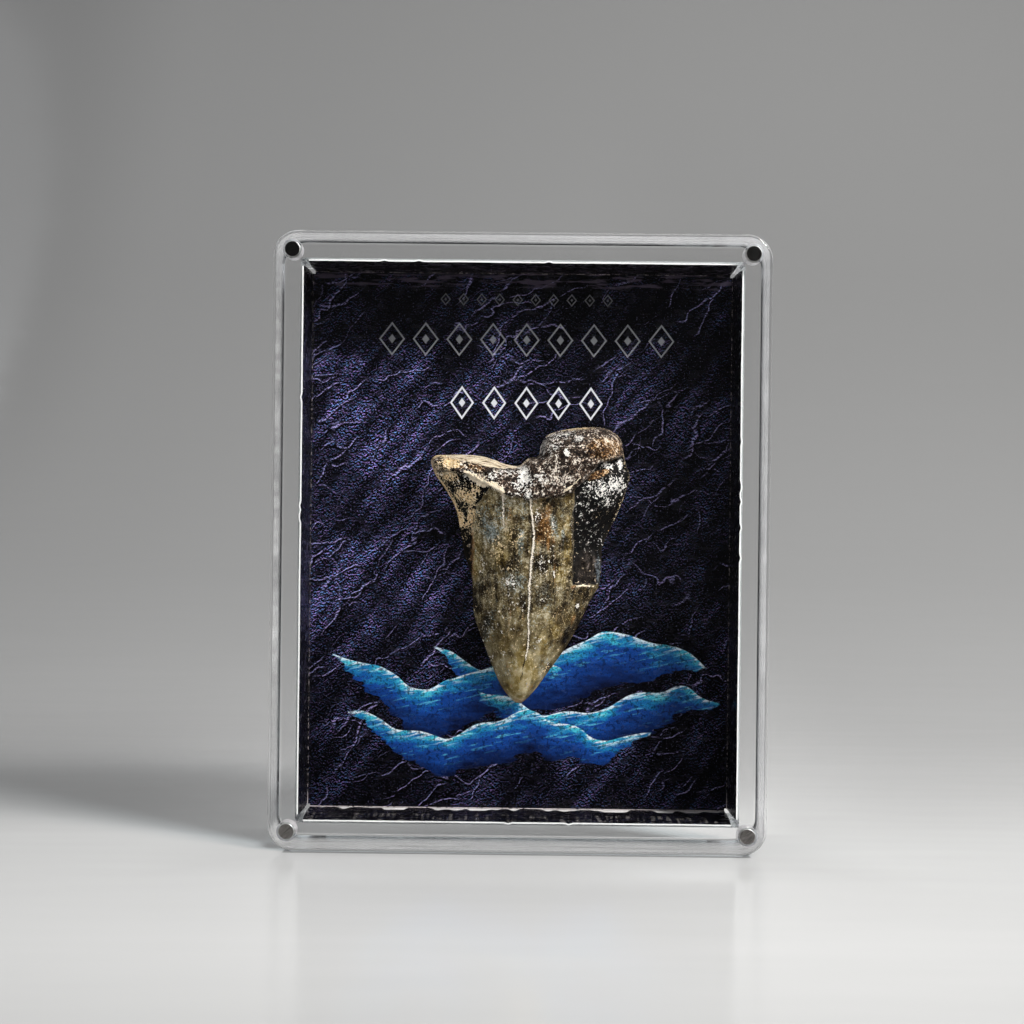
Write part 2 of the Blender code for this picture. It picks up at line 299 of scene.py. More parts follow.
def floorMaterial():  # places here are in metres
    material, w = newMaterial("paleSweep")
    place = w.node("TexCoord", output=3)
    x, y, z = parts(place)
    ripple = grain(stretched(place, (1, 3.5, 1)), 9, 2)
    far = (y + z * 0.8 + 0.16) / 1.76  # how far back along the sweep
    # painted light and shade: the plain sweep's tone changes along its length, palest just in front of the
    # box and darker up the wall
    tone = ramp(far, [(at, level, level, level) for at, level in studio["sweepTones"]])
    tone = tone * (0.88 + step(x, -0.50, 0.32) * 0.20)  # paler towards the lamp's side
    glow = step(y, 0.012, 0.018) * step(y, 0.13, 0.05) * step(abs(x), 0.075, 0.045)
    tone = tone * (1 + glow * 0.35)  # light that the clear box lets through
    # painted shade: darker high on the left of the sweep, and a little darker low on the right
    tone = tone * (1 - step(x, -0.24, -0.36) * step(z, 0.02, 0.15) * 0.17)
    tone = tone * (1 - step(x, 0.04, 0.12) * step(z, 0.45, 0.15) * 0.09)
    # painted shadow of the box, falling on the floor to its left and back
    paintedShadow = step(x, -0.05, -0.09) * step(x, -0.36, -0.16) * step(y, 0.0, 0.05) * step(y, 0.30, 0.14)
    tone = tone * (1 - paintedShadow * 0.20)
    away = larger(abs(x) - 0.0525, abs(y) - 0.0138)  # how far outside the box's foot
    # painted shade round the box's foot
    tone = tone * (1 - step(away, 0.035, 0.0) * 0.10)
    tone = tone * (1 - step(abs(away - 0.0004), 0.0012, 0.0005) * 0.60)  # painted contact shadow: a dark line where it touches
    seen = mirrored(w)
    hidden = seen * step(y, -0.015, -0.035)  # floor in front painted black where it is seen in a mirror, which keeps the cover's front free of haze
    bands = step(grain(stretched(place, (3, 0, 150)), 1.0, 1), 0.40, 0.60) * step(abs(x), 0.22, 0.12)
    edges = step(y, 0.03, 0.10) * 0.32 + step(y, 0.20, 0.35) * step(z, 0.35, 0.15) * bands
    colour = tone * (1 - hidden) * (1 + seen * edges)  # painted light: paler where seen in a mirror, so the clear box's sawn edges look bright
    shader = principled(w, Base_Color=colour, Roughness=0.14, Specular_IOR_Level=0.10,
                        Normal=bump(ripple, 0.0006, 0.5))
    toOutput(w, shader)
    return material


def makeFloor():
    mesh = bmesh.new()
    half, front, back = studio["halfWidth"], studio["floorFront"], studio["floorBack"]
    level, radius = studio["floorLevel"], studio["sweepRadius"]
    ends = [mesh.verts.new((x, front, level)) for x in (-half, half)]
    edge = [mesh.edges.new(ends)]
    for i in range(12):
        edge = stretchEdge(mesh, edge, (0, (back - front) / 12, 0))
    bmesh.ops.spin(mesh, geom=edge, cent=(0, back, radius + level), axis=(1, 0, 0),
                   angle=math.pi / 2, steps=24)
    top = [e for e in mesh.edges if all(v.co.z > radius + level - 1e-5 for v in e.verts)]
    stretchEdge(mesh, top, (0, 0, studio["wallTop"] - radius))
    bmesh.ops.remove_doubles(mesh, verts=mesh.verts, dist=1e-5)
    bmesh.ops.recalc_face_normals(mesh, faces=mesh.faces)
    sweep = newObject("sweep", mesh, floorMaterial())
    sweep.data.shade_smooth()


def stretchEdge(mesh, edges, by):
    grown = bmesh.ops.extrude_edge_only(mesh, edges=edges)["geom"]
    bmesh.ops.translate(mesh, vec=by, verts=[v for v in grown if isinstance(v, bmesh.types.BMVert)])
    return [e for e in grown if isinstance(e, bmesh.types.BMEdge)]


scene = bpy.context.scene
scene.view_settings.view_transform = "Standard"
scene.view_settings.exposure = studio["exposure"]
scene.cycles.max_bounces = 12
scene.cycles.transmission_bounces = 12
scene.cycles.glossy_bounces = 6
scene.cycles.diffuse_bounces = 2
scene.cycles.transparent_max_bounces = 16
scene.cycles.caustics_reflective = False
scene.cycles.caustics_refractive = False

makeCamera()
for name, lamp in lamps.items():
    addLamp(name, **lamp)
makeWorld()
makeFloor()
print("studio ready")


# the clear box, in millimetres
box = {
    "width": 115.0,
    "height": 143.0,
    "front": -14.0,
    "coverBack": -10.0,
    "bodyFront": -9.7,
    "back": 14.0,
    "cavityFloor": 10.0,
    "border": 6.1,
    "cornerRadius": 5.8,
    "cornerSteps": 20,
    "outerRim": 0.9,
    "matingRim": 0.25,
    "pocketRadius": 2.3,
    "bodyPocket": 2.8,
    "coverPocket": 2.4,
    "clearIor": 1.49,
    "clearTint": (0.93, 0.945, 0.95, 1),
    "clearDensity": 5.0,
    "shadeTint": (0.955, 0.96, 0.965, 1),  # light that passes each face on its way to the card
    "sawnTint": (1.0, 0.935, 0.955, 1),
    "magnetInset": 4.25,
}


def roundedSlab(front, back, frontRim, backRim):
    half = box["width"] / 2
    slab = boxMesh((-half * mm, front * mm, 0), (half * mm, back * mm, box["height"] * mm))
    corners = [e for e in slab.edges if abs(e.verts[0].co.y - e.verts[1].co.y) > 0.1 * mm]
    bevel(slab, corners, box["cornerRadius"] * mm, box["cornerSteps"])
    for y, width in ((front, frontRim), (back, backRim)):
        rim = [e for e in slab.edges if all(abs(v.co.y - y * mm) < 0.01 * mm for v in e.verts)]
        bevel(slab, rim, width * mm, 6 if width > 0.5 else 2)
    return slab


def magnetPlaces():
    x = box["width"] / 2 - box["magnetInset"]
    low, high = box["magnetInset"], box["height"] - box["magnetInset"]
    return {"TopLeft": (-x, high), "TopRight": (x, high), "BottomLeft": (-x, low), "BottomRight": (x, low)}


def discMesh(radius, front, back, x, z, segments=48):  # its axis along Y
    disc = bmesh.new()
    bmesh.ops.create_cone(disc, cap_ends=True, segments=segments, radius1=radius * mm,
                          radius2=radius * mm, depth=(back - front) * mm)
    bmesh.ops.rotate(disc, cent=(0, 0, 0), matrix=Matrix.Rotation(math.pi / 2, 3, "X"), verts=disc.verts)
    bmesh.ops.translate(disc, vec=(x * mm, (front + back) / 2 * mm, z * mm), verts=disc.verts)
    return disc


def carve(thing, cutters):  # takes the cutters out of the piece for good
    for cutter in cutters:
        modifier = thing.modifiers.new("carve", "BOOLEAN")
        modifier.operation = "DIFFERENCE"
        modifier.solver = "EXACT"
        modifier.object = cutter
    settled = bpy.data.meshes.new_from_object(thing.evaluated_get(bpy.context.evaluated_depsgraph_get()))
    thing.modifiers.clear()
    thing.data = settled
    for cutter in cutters:
        bpy.data.objects.remove(cutter, do_unlink=True)


def acrylicMaterial(name, roughness, scatter=None):
    material, w = newMaterial(name)
    settings = {"Base_Color": (1, 1, 1, 1), "Roughness": roughness, "IOR": box["clearIor"],
                "Transmission_Weight": 1.0}
    if scatter == "sawn":  # polished saw lines run round the edge, and the underside is scuffed
        place = objectPlace(w)
        x, y, z = parts(place)
        line = grain(stretched(place, (0.012, 1.5, 0.012)), 1.0, 3, 0.7)
        patch = grain(stretched(place, (0.05, 0.5, 0.05)), 1.0, 2)
        settings["Roughness"] = 0.02 + step(line, 0.40, 0.65) * 0.10
        settings["Normal"] = bump(line, 0.00010, 0.6)
        lines = step(line + (patch - 0.5) * 0.8, 0.38, 0.68)
        share = (lines * 0.24 + 0.12) * (step(x, -50, 50) * 0.5 + 0.5)
        share = share * step(z, 0.5, 5) + step(z, 0.5, 0.1) * step(line, 0.56, 0.62) * 0.7
    elif scatter == "drilled":
        share = step(grain(objectPlace(w), 2.0, 2), 0.3, 0.7) * 0.40 + 0.45
    glass = principled(w, **settings)
    if scatter:
        white = {"Color": box["sawnTint"]}
        both = w.node("MixShader", {}, {0: 0.5, 1: w.node("BsdfTranslucent", {}, white),
                                        2: w.node("BsdfDiffuse", {}, white)})
        glass = w.node("MixShader", {}, {0: share, 1: glass, 2: both})
    open = w.node("BsdfTransparent", {}, {"Color": box["shadeTint"]})
    lit = w.node("MixShader", {}, {0: w.node("LightPath", output="Is Shadow Ray"), 1: glass, 2: open})
    both = w.node("MixShader", {}, {0: w.node("LightPath", output="Is Diffuse Ray"), 1: lit, 2: open})
    haze = w.node("VolumeAbsorption", {}, {"Color": box["clearTint"], "Density": box["clearDensity"]})
    toOutput(w, both, haze)
    return material


def makeBox():
    finishes = [acrylicMaterial("clearAcrylic", 0.0), acrylicMaterial("drilledAcrylic", 0.12, "drilled"),
                acrylicMaterial("sawnAcrylic", 0.06, "sawn")]
    half, high, border = box["width"] / 2, box["height"], box["border"]
    slabs = []
    for name, front, back, frontRim, backRim in (
            ("acrylicBody", box["bodyFront"], box["back"], box["matingRim"], box["outerRim"]),
            ("acrylicCover", box["front"], box["coverBack"], box["outerRim"], box["matingRim"])):
        slab = roundedSlab(front, back, frontRim, backRim)
        paintFaces(slab, 0.3, 2, 0)
        slabs.append(newObject(name, slab, *finishes))
    body, cover = slabs
    cavity = boxMesh(((-half + border) * mm, box["front"] * mm, border * mm),
                     ((half - border) * mm, box["cavityFloor"] * mm, (high - border) * mm))
    cutters, coverCutters = [newObject("cavity", cavity, *finishes)], []
    for x, z in magnetPlaces().values():
        for owner, front, back in (
                (cutters, box["bodyFront"] - 1, box["bodyFront"] + box["bodyPocket"]),
                (coverCutters, box["coverBack"] - box["coverPocket"], box["coverBack"] + 1)):
            pocket = discMesh(box["pocketRadius"], front, back, x, z)
            paintFaces(pocket, 0.5, 1, 0)
            owner.append(newObject("pocket", pocket, *finishes))
    carve(body, cutters)
    carve(cover, coverCutters)
    for piece, node in ((body, "acrylic_body"), (cover, "acrylic_cover")):
        smoothFinish(piece, 30)
        fasten(piece, node)
    print("clear box ready")


magnet = {"radius": 1.88, "rim": 0.26, "coverThick": 2.0, "bodyThick": 2.4, "recess": 0.1}


def magnetMaterial(name, dark, pale, metal, lined):
    material, w = newMaterial(name)
    place = objectPlace(w)
    speck = grain(place, 3.4, 3, 0.75)
    scratch = grain(stretched(turned(place, 38), (0.35, 1, 5)), 1.3, 3, 0.6)
    tone = step(speck, 0.62, 0.70) * (1 - lined) + step(scratch * 0.6 + speck * 0.4, 0.42, 0.58) * lined
    shader = principled(w, Base_Color=mix(tone, dark, pale), Metallic=metal, Roughness=0.34 + tone * 0.2,
                        Specular_IOR_Level=0.2, Normal=bump(scratch * lined + speck, 0.00004, 0.6))
    toOutput(w, shader)
    return material


def makeMagnets():
    # the top and bottom magnets are alike: painted reflections, dark on the top ones for the dark room they
    # mirror, pale grey on the bottom ones for the floor they mirror
    darkReflection = magnetMaterial("magnetBlackened", (0.002, 0.002, 0.002), (0.16, 0.14, 0.11), 0.1, 0.0)
    paleReflection = magnetMaterial("magnetBrushed", (0.055, 0.05, 0.047), (0.17, 0.16, 0.15), 0.4, 1.0)
    bright = magnetMaterial("magnetRim", (0.45, 0.44, 0.42), (0.75, 0.73, 0.70), 1.0, 0.5)
    coverBack = box["coverBack"] - magnet["recess"]
    bodyFront = box["bodyFront"] + magnet["recess"]
    for place, (x, z) in magnetPlaces().items():
        for owner, front, back in (("cover", coverBack - magnet["coverThick"], coverBack),
                                   ("body", bodyFront, bodyFront + magnet["bodyThick"])):
            disc = discMesh(magnet["radius"], front, back, x, z, 64)
            rims = [e for e in disc.edges if abs(e.verts[0].co.y - e.verts[1].co.y) < 0.01 * mm]
            bevel(disc, rims, magnet["rim"] * mm, 4)
            paintFaces(disc, 0.9, 1, 0)
            piece = newObject(owner + "Magnet" + place, disc, darkReflection if "Top" in place else paleReflection, bright)
            smoothFinish(piece, 40)
            node = owner + "_magnet_" + ("top" if "Top" in place else "bottom")
            fasten(piece, node + ("_left" if "Left" in place else "_right"))
    print("magnets ready")


# the printed card tray, in millimetres
card = {
    "thickness": 0.34,
    "outerBack": 9.7,
    "frontEdge": -9.4,
    "halfWide": 51.1,
    "halfHigh": 65.1,
    "middle": 71.5,
    "foldRadius": 0.8,
    "cornerCut": 0.9,
    "cornerWedge": 0.60,  # how far the flaps draw in at a corner's front
    "wave": 0.10,  # how far the flaps bow out of true
    "backTone": (0.82, 0.81, 0.78),
    "cutTone": (0.93, 0.93, 0.91),
    "mapSize": 200.0,  # millimetres of card across the whole UV square
    "burrs": [(-32.2, 65.1), (-23.9, 65.1), (6.0, 65.1), (51.1, 24.2), (51.1, 13.5), (51.1, 9.9), (51.1, 3.9),
              (51.1, -3.2), (-51.1, 33.0), (-51.1, 8.0), (-51.1, 5.5), (-2.0, -65.1), (12.0, -65.1)],
}

# rows of lozenges: middle x and z on the card, pitch, count, half width, half height, stroke, tone; the two
# upper rows have painted shade from the top flap in their lower tones
cardRows = [
    (1.0, 58.4, 4.36, 10, 1.25, 1.5, 0.34, 0.12),
    (1.1, 48.7, 8.15, 9, 3.3, 4.3, 0.46, 0.30),
    (1.2, 33.4, 7.8, 5, 3.0, 4.2, 0.52, 0.80),
]

# swells from the back one to the front one: middle x, half length, crest height, body at the middle,
# then length, shift and size of the two waves in the crest
cardSwells = [
    (13.0, 33.0, -26.5, 14.0, (58.0, -9.0, 4.2), (19.0, 4.0, 0.9)),
    (-17.0, 28.0, -31.5, 13.0, (47.0, 10.0, 3.8), (17.0, 2.0, 0.9)),
    (19.0, 30.0, -38.5, 12.0, (52.0, -24.0, 3.4), (14.0, 5.0, 0.8)),
    (-5.0, 37.0, -44.5, 11.0, (44.0, 9.0, 3.0), (13.0, 1.0, 0.7)),
]


# from the crest down: place, red, green and blue
waterTones = [
    (0.0, 0.06, 0.5, 0.62), (0.12, 0.01, 0.2, 0.42), (0.34, 0.006, 0.055, 0.28), (0.72, 0.003, 0.018, 0.1),
    (1.0, 0.002, 0.004, 0.02),
]


def foldLines(half):  # places of the net's lines out from the middle, in millimetres of flat card
    start, arc = half - card["foldRadius"], card["foldRadius"] * math.pi / 2
    reach = card["outerBack"] - card["foldRadius"] - card["frontEdge"]
    inner = half - card["cornerCut"]
    count = round(inner / 1.0)
    places = [inner * i / count for i in range(count + 1)]
    places += [start + arc * i / 5 for i in range(6)]
    places += [start + arc + reach * i / 12 for i in range(1, 13)]
    return [-p for p in reversed(places[1:])] + places


def folded(flat, half):  # offset from the middle, and depth in front of the card's back
    radius = card["foldRadius"]
    start, arc, side, out = half - radius, radius * math.pi / 2, math.copysign(1, flat), abs(flat)
    if out <= start:
        return flat, 0.0
    if out <= start + arc:
        angle = (out - start) / radius
        return side * (start + radius * math.sin(angle)), radius * (1 - math.cos(angle))
    return side * half, radius + out - start - arc


def leatherGrain(place):  # fine pebbled relief: how far each point leans towards the lamp
    lean = stretched(turned(place, -38, "Z_AXIS"), (0.95, 1.25, 1))
    return flatGrain(lean, 1.85, 2, 0.62) - flatGrain(shifted(lean, (0.14, 0.18, 0)), 1.85, 2, 0.62)


def leatherFolds(place):  # broad folds that lean the grain to and from the lamp
    lean = stretched(turned(place, -54, "Z_AXIS"), (0.22, 1, 1))
    return flatGrain(lean, 0.13, 2, 0.55) - flatGrain(shifted(lean, (0, 1.7, 0)), 0.13, 2, 0.55)


def leatherCreases(place, turn, cell, width, warp, seed):  # long lines that meet, as between flat cells
    moved = shifted(place, seed)
    bend = stretched(shifted(flatGrain(moved, 0.10, 2, 0.6, output=1), (-0.5, -0.5, -0.5)), (warp, warp, 0))
    bent = moved.node("VectorMath", {"operation": "ADD"}, {0: moved, 1: bend})
    lean = stretched(turned(bent, turn, "Z_AXIS"), (1 / cell[0], 1 / cell[1], 1))
    here = step(flatGrain(moved, 0.055, 1, 0.5), 0.48, 0.62)
    ridges = [step(cells(at, 1.0, "DISTANCE_TO_EDGE", flat=True), width, width * 0.1)
              for at in (lean, shifted(lean, (0, 0.30 / cell[1], 0)))]
    return (ridges[0] - ridges[1]) * here  # bright on the side of the lamp, dark on the other


def lozengeRows(x, z):
    total = None
    for middleX, middleZ, pitch, count, wide, tall, stroke, tone in cardRows:
        u = x - middleX
        inRow = step(abs(u), pitch * count / 2 + 0.1, pitch * count / 2)
        phase = u / pitch + (0.5 if count % 2 else 0.0)
        nearest = abs((phase.maths("FRACT", phase) - 0.5) * pitch)
        reach = nearest / wide + abs(z - middleZ) / tall
        edge = stroke / min(wide, tall)
        ring = step(abs(reach - 0.88), edge * 0.62, edge * 0.40)
        core = step(reach, 0.30, 0.22)
        shape = larger(ring, core) * inRow * tone
        total = shape if total is None else larger(total, shape)
    return total


def seaSwell(place, x, z):  # colour and share of the printed swells, each one tapering to both ends
    colour, share = None, None
    bent = x + (flatGrain(place, 0.05, 2) - 0.5) * 9
    for i, (middle, half, height, body, first, second) in enumerate(cardSwells):
        crest = height
        for length, shift, size in (first, second):
            crest = (bent + shift).maths("SINE", (bent + shift) * (2 * math.pi / length)) * size + crest
        u = (x - middle) / half
        moved = shifted(place, (7.0 * i, 3.0 * i, 0))
        along = flatGrain(stretched(moved, (0.16, 0.55, 1)), 1.0, 2, 0.62)
        streak = flatGrain(stretched(turned(moved, -12, "Z_AXIS"), (0.1, 0.8, 1)), 1.6, 2, 0.6)
        mottle = flatGrain(moved, 0.9, 2, 0.7)
        deep = crest - z
        floor = (1 - u * u) * body + (along - 0.5) * 5
        t = deep / body + (along - 0.5) * 0.6 + (mottle - 0.5) * 0.35
        water = ramp(t, waterTones)
        foam = step(deep, 2.4, 0.1) * step(streak + step(deep, 1.2, 0.0) * 0.14, 0.52, 0.64)
        water = mix(foam, water, (0.72, 0.82, 0.88))
        water = mix(step(streak, 0.6, 0.72) * step(deep, 9.0, 2.0) * 0.7, water, (0.1, 0.5, 0.68))
        water = mix(step(mottle, 0.47, 0.36) * 0.75, water, (0.002, 0.006, 0.035))
        here = step(deep, -0.05, 0.15) * step(floor - deep, -0.15, 0.35)
        colour = water if colour is None else mix(here, colour, water)
        share = here if share is None else larger(share, here)
    return colour, share


def printMaterial():
    material, w = newMaterial("printedLeather")
    u, v = parts(w.node("TexCoord", output=2))[:2]
    x = (u - 0.5) * card["mapSize"]
    z = (v - 0.5) * card["mapSize"]
    place = w.node("CombineXYZ", {}, {0: x, 1: z, 2: 0.0})
    # painted light on the print: paler to the left and higher up, darker to the right, the bottom and the
    # lower left, with painted shade of the top flap along the top
    lit = (step(x, 42, -44) * 0.74 + 0.2) * (step(z, -62, 26) * 0.68 + 0.32) * (1 - step(z, 43, 51) * 0.5)
    lit = larger(lit, 0.26) * (1 - step(z, 52, 58) * 0.6)
    lit = lit * (1 - step(z, -18, -52) * step(x, 30, -10) * 0.45)
    patch = step(flatGrain(place, 0.05, 3, 0.55), 0.4, 0.62) * 0.95 + 0.2
    fine = leatherGrain(place)
    folds = leatherFolds(place)
    facing = step(fine + folds * 0.22, 0.1, 0.18)
    shine = smaller(facing * lit * patch * (step(folds, -0.1, 0.14) * 0.9 + 0.35), 1.0)
    creases = leatherCreases(place, -54, (34, 9), 0.04, 7, (0, 0, 0)) \
        + leatherCreases(place, -30, (16, 5), 0.06, 5, (40, 17, 0)) * 0.8 \
        + leatherCreases(place, -12, (26, 9), 0.04, 11, (11, 63, 0)) * 0.8
    ridge = step(creases, 0.1, 0.9) * step(fine, -0.1, 0.1)
    tint = flatGrain(place, 1.1, 1)
    dots = step(flatGrain(place, 2.4, 0), 0.78, 0.86)
    glow = mix(step(tint, 0.4, 0.6), (0.5, 0.32, 0.86), (0.2, 0.38, 0.86))
    colour = mix(lit * 0.5, (0.0006, 0.0005, 0.0009), (0.0016, 0.0014, 0.0034))
    colour = mix(dots * (0.25 + lit * 0.4), colour, (0.16, 0.15, 0.26))
    colour = mix(shine * step(creases, -0.5, -0.1), colour, glow)
    colour = mix(ridge * (0.4 + lit * 0.6), colour, mix(tint, (0.62, 0.42, 0.86), (0.36, 0.46, 0.86)))
    water, share = seaSwell(place, x, z)
    speckle = flatGrain(place, 2.3, 1, 0.6)
    water = mix(step(speckle, 0.5, 0.66) * 0.45, water, (0.004, 0.012, 0.06))
    colour = mix(share, colour, water)
    colour = mix(lozengeRows(x, z), colour, (0.8, 0.81, 0.84))
    outX, outZ = abs(x) - (card["halfWide"] - 0.2), abs(z) - (card["halfHigh"] - 0.2)
    out = larger(outX, outZ)
    # painted shade: the print on the folds and flaps made almost black
    colour = mix(step(out, -1.2, 0.6) * 0.85, colour, (0.001, 0.0009, 0.0012))
    # painted sheen along the top fold and flap
    paintedSheen = step(flatGrain(stretched(place, (0.12, 0.9, 1)), 1.0, 2, 0.6), 0.5, 0.62) * step(z, 60.5, 62)
    colour = mix(paintedSheen * 0.9, colour, (0.06, 0.046, 0.068))
    crack = flatGrain(place, 0.9, 3, 0.7)
    low = step(z, -60, -64)
    # paler line along the folds: worn print showing the white card, with painted highlight along the bottom
    # fold
    foldWearAndGlint = larger(step(crack, 0.5, 0.6) * 0.35, low * step(crack, 0.3, 0.45) * 0.8)
    colour = mix(step(abs(out - 0.3), 0.26, 0.1) * foldWearAndGlint, colour, (0.85, 0.74, 0.74))
    along = flatGrain(stretched(place, (0.14, 0.5, 1)), 1.0, 2, 0.6)
    wave = flatGrain(stretched(place, (0.15, 0, 1)), 1.0, 1, 0.5) + step(x, -36, -18) * 0.05
    hang = step(wave, 0.49, 0.61) * 2.8 + 0.6  # how far each painted glint hangs below the seam
    # painted highlights: pale glossy glints hanging below the bottom fold
    paintedGlint = step(outZ, 0.8, 1.2) * step(outZ - hang, 1.0, 0.4) * step(wave, 0.47, 0.5) * low
    colour = mix(paintedGlint * (0.75 + step(along, 0.4, 0.6) * 0.25), colour, (0.98, 0.94, 0.92))
    # painted reflection: faint upright streaks on the bottom flap
    upright = flatGrain(stretched(place, (0.8, 0.05, 1)), 1.0, 3, 0.6)
    reflectedStreaks = step(upright, 0.5, 0.62) * step(outZ, 8.5, 10) * low
    colour = mix(reflectedStreaks * step(along, 0.44, 0.56) * 0.22, colour, (0.5, 0.46, 0.43))
    wear = flatGrain(stretched(place, (0.5, 1, 1)), 0.5, 3)
    shader = principled(w, Base_Color=colour, Roughness=0.2 + wear * 0.12, IOR=1.5, Specular_IOR_Level=0.22,
                        Normal=bump(wear + fine, 0.0001, 0.3))
    toOutput(w, shader)
    return material


def plainCardMaterial(name, tone, rough):
    material, w = newMaterial(name)
    place = objectPlace(w)
    fibre = grain(stretched(place, (1, 1, 0.6)), 3.0, 4, 0.7)
    mottle = grain(place, 0.12, 3)
    scuff = grain(stretched(turned(place, 35), (0.1, 1, 1.4)), 1.2, 3, 0.7)
    colour = mix(fibre * 0.4 + step(mottle, 0.35, 0.65) * 0.6, [c * 0.82 for c in tone], tone)
    colour = mix(step(scuff, 0.66, 0.74) * 0.5, colour, [c * 0.7 for c in tone])
    toOutput(w, principled(w, Base_Color=colour, Roughness=rough + fibre * 0.1,
                           Normal=bump(fibre * 0.5 + mottle * 2, 0.00012, 0.5)))
    return material


def makeCard():
    sLines, tLines = foldLines(card["halfWide"]), foldLines(card["halfHigh"])
    columns, rows = len(sLines) - 1, len(tLines) - 1
    net = bmesh.new()
    bmesh.ops.create_grid(net, x_segments=columns, y_segments=rows, size=1)
    cutS, cutT = card["halfWide"] - card["cornerCut"] + 0.01, card["halfHigh"] - card["cornerCut"] + 0.01
    flat = {}
    for v in net.verts:
        column, row = (round((c + 1) / 2 * n) for c, n in ((v.co.x, columns), (v.co.y, rows)))
        flat[v] = sLines[column], tLines[row]
    corners = [f for f in net.faces if all(
        sum(abs(flat[v][i]) for v in f.verts) / 4 > crackShade for i, crackShade in ((0, cutS), (1, cutT)))]
    bmesh.ops.delete(net, geom=corners, context="FACES")
    bmesh.ops.reverse_faces(net, faces=net.faces)
    layer = net.loops.layers.uv.new("print")
    for face in net.faces:
        for loop in face.loops:
            s, t = flat[loop.vert]
            loop[layer].uv = (0.5 + s / card["mapSize"], 0.5 + t / card["mapSize"])
    draw = random.Random(5)
    for v in net.verts:
        s, t = flat[v]
        x, depthS = folded(s, card["halfWide"])
        z, depthT = folded(t, card["halfHigh"])
        depth = max(depthS, depthT)
        nearCorner = smoothstep(0.80, 1.0, min(abs(x) / 51, abs(z) / 65))
        narrowed = card["cornerWedge"] * (depth / 19) ** 3 * nearCorner
        x -= math.copysign(narrowed, x) if depthT > depthS else 0
        z -= math.copysign(narrowed, z) if depthS > depthT else 0
        bow = card["wave"] * min(depth / 9, 1) * wobble(s * 0.05, t * 0.05, 2.0)
        edge = depth > card["outerBack"] - card["frontEdge"] - 0.01
        torn = any(math.hypot(x - bx, z - bz) < 0.75 for bx, bz in card["burrs"])
        burr = (0.28 if torn else 0.03 * draw.random()) if edge else 0.0
        if depthS > depthT:
            x += math.copysign(bow + burr, x)
        elif depthT > 0:
            z += math.copysign(bow + burr, z)
        v.co = (x * mm, (card["outerBack"] - depth) * mm, (card["middle"] + z) * mm)
    tray = newObject("cardTray", net, plainCardMaterial("cardBack", card["backTone"], 0.6), printMaterial(),
                     plainCardMaterial("cardCutEdge", card["cutTone"], 0.7))
    tray.data.shade_smooth()
    solid = tray.modifiers.new("cardThickness", "SOLIDIFY")
    solid.thickness = card["thickness"] * mm
    solid.offset = -1
    solid.use_even_offset = True
    solid.material_offset = 1
    solid.material_offset_rim = 2
    split = tray.modifiers.new("crispEdges", "EDGE_SPLIT")
    split.split_angle = math.radians(50)
    fasten(tray, "card_tray")
    print("card tray ready")


tooth = {
    "outline": [  # x and z in millimetres, clockwise from the outer corner of the left root lobe
        (-21.2, 91.2), (-17.4, 92.0), (-11.4, 92.0), (-8.1, 91.5), (-0.9, 89.5), (2.0, 91.5),
        (4.2, 92.0), (4.7, 94.3), (6.4, 97.0), (12.1, 98.6), (18.3, 99.0), (21.2, 98.3),
        (23.6, 96.4), (24.5, 93.0), (25.1, 90.2), (26.1, 87.5), (24.9, 82.9), (23.3, 78.6),
        (21.0, 73.5), (19.7, 70.2), (19.5, 65.4), (19.0, 61.1), (17.3, 58.2), (15.0, 53.2),
        (11.7, 46.9), (6.6, 39.5), (3.1, 34.8), (0.2, 32.6), (-2.3, 34.3), (-4.6, 37.7),
        (-8.1, 46.2), (-10.8, 54.1), (-11.4, 62.7), (-13.1, 67.9), (-14.3, 74.3), (-15.4, 79.1),
        (-17.9, 83.8), (-20.5, 87.6),
    ],
    "centre": (1.2, 71.9),
    "tip": 32.6,
    "cells": 220,
    "card": 8.9,  # y of the card's face behind the tooth
    # height over the tip, height of the outline over the card, rise of the front from there
    "stations": [
        (0.0, 2.2, 0.4), (0.8, 2.4, 1.5), (3.0, 2.7, 2.7), (8.0, 3.1, 4.3), (16.0, 3.6, 6.0),
        (28.0, 4.2, 7.5), (42.0, 4.8, 8.3), (50.0, 5.2, 8.4), (58.0, 5.4, 8.0), (67.0, 5.0, 6.6),
    ],
    "crownTop": (72.0, 84.0),
    "rootRounding": 8.0,
    "backRounding": 5.0,
    "rootEdge": [
        (-23.0, 88.6), (-12.5, 87.1), (-8.0, 84.8), (-4.1, 82.5), (2.0, 81.4), (8.4, 82.0),
        (11.7, 82.9), (15.3, 86.3), (18.8, 90.2), (27.0, 92.4),
    ],
    "rootStep": 1.1,
    "enamelLeft": [(52.0, -14.0), (58.0, -12.4), (62.0, -11.2), (74.5, -11.4), (80.0, -10.3), (86.0, -6.0)],
    "enamelRight": 12.6,
    "leftStripDepth": 1.3,
    "breakDepth": 2.0,
    "breakLedge": 61.4,
    "chunk": (18.0, 65.2, 3.2, 4.4, 0.8),
    "fractureEdge": [(-18.6, 92.4), (-17.2, 91.3), (-13.2, 90.5), (-8.2, 89.1), (-3.4, 88.7), (0.0, 89.2),
                     (2.0, 90.8)],
    "fractureStart": 6.8,
    "fractureFall": 2.1,
    "swellings": [(8.0, 88.0, 8.0, 5.0, 1.6), (17.5, 94.0, 6.0, 4.0, 1.5),
                  (-14.5, 88.0, 6.0, 3.0, 0.9), (-2.0, 85.5, 5.0, 3.0, 0.7)],
    "pits": 22,
    "pitSeed": 11,
    "relief": 0.0003,  # depth of the finest bumps, in metres
}

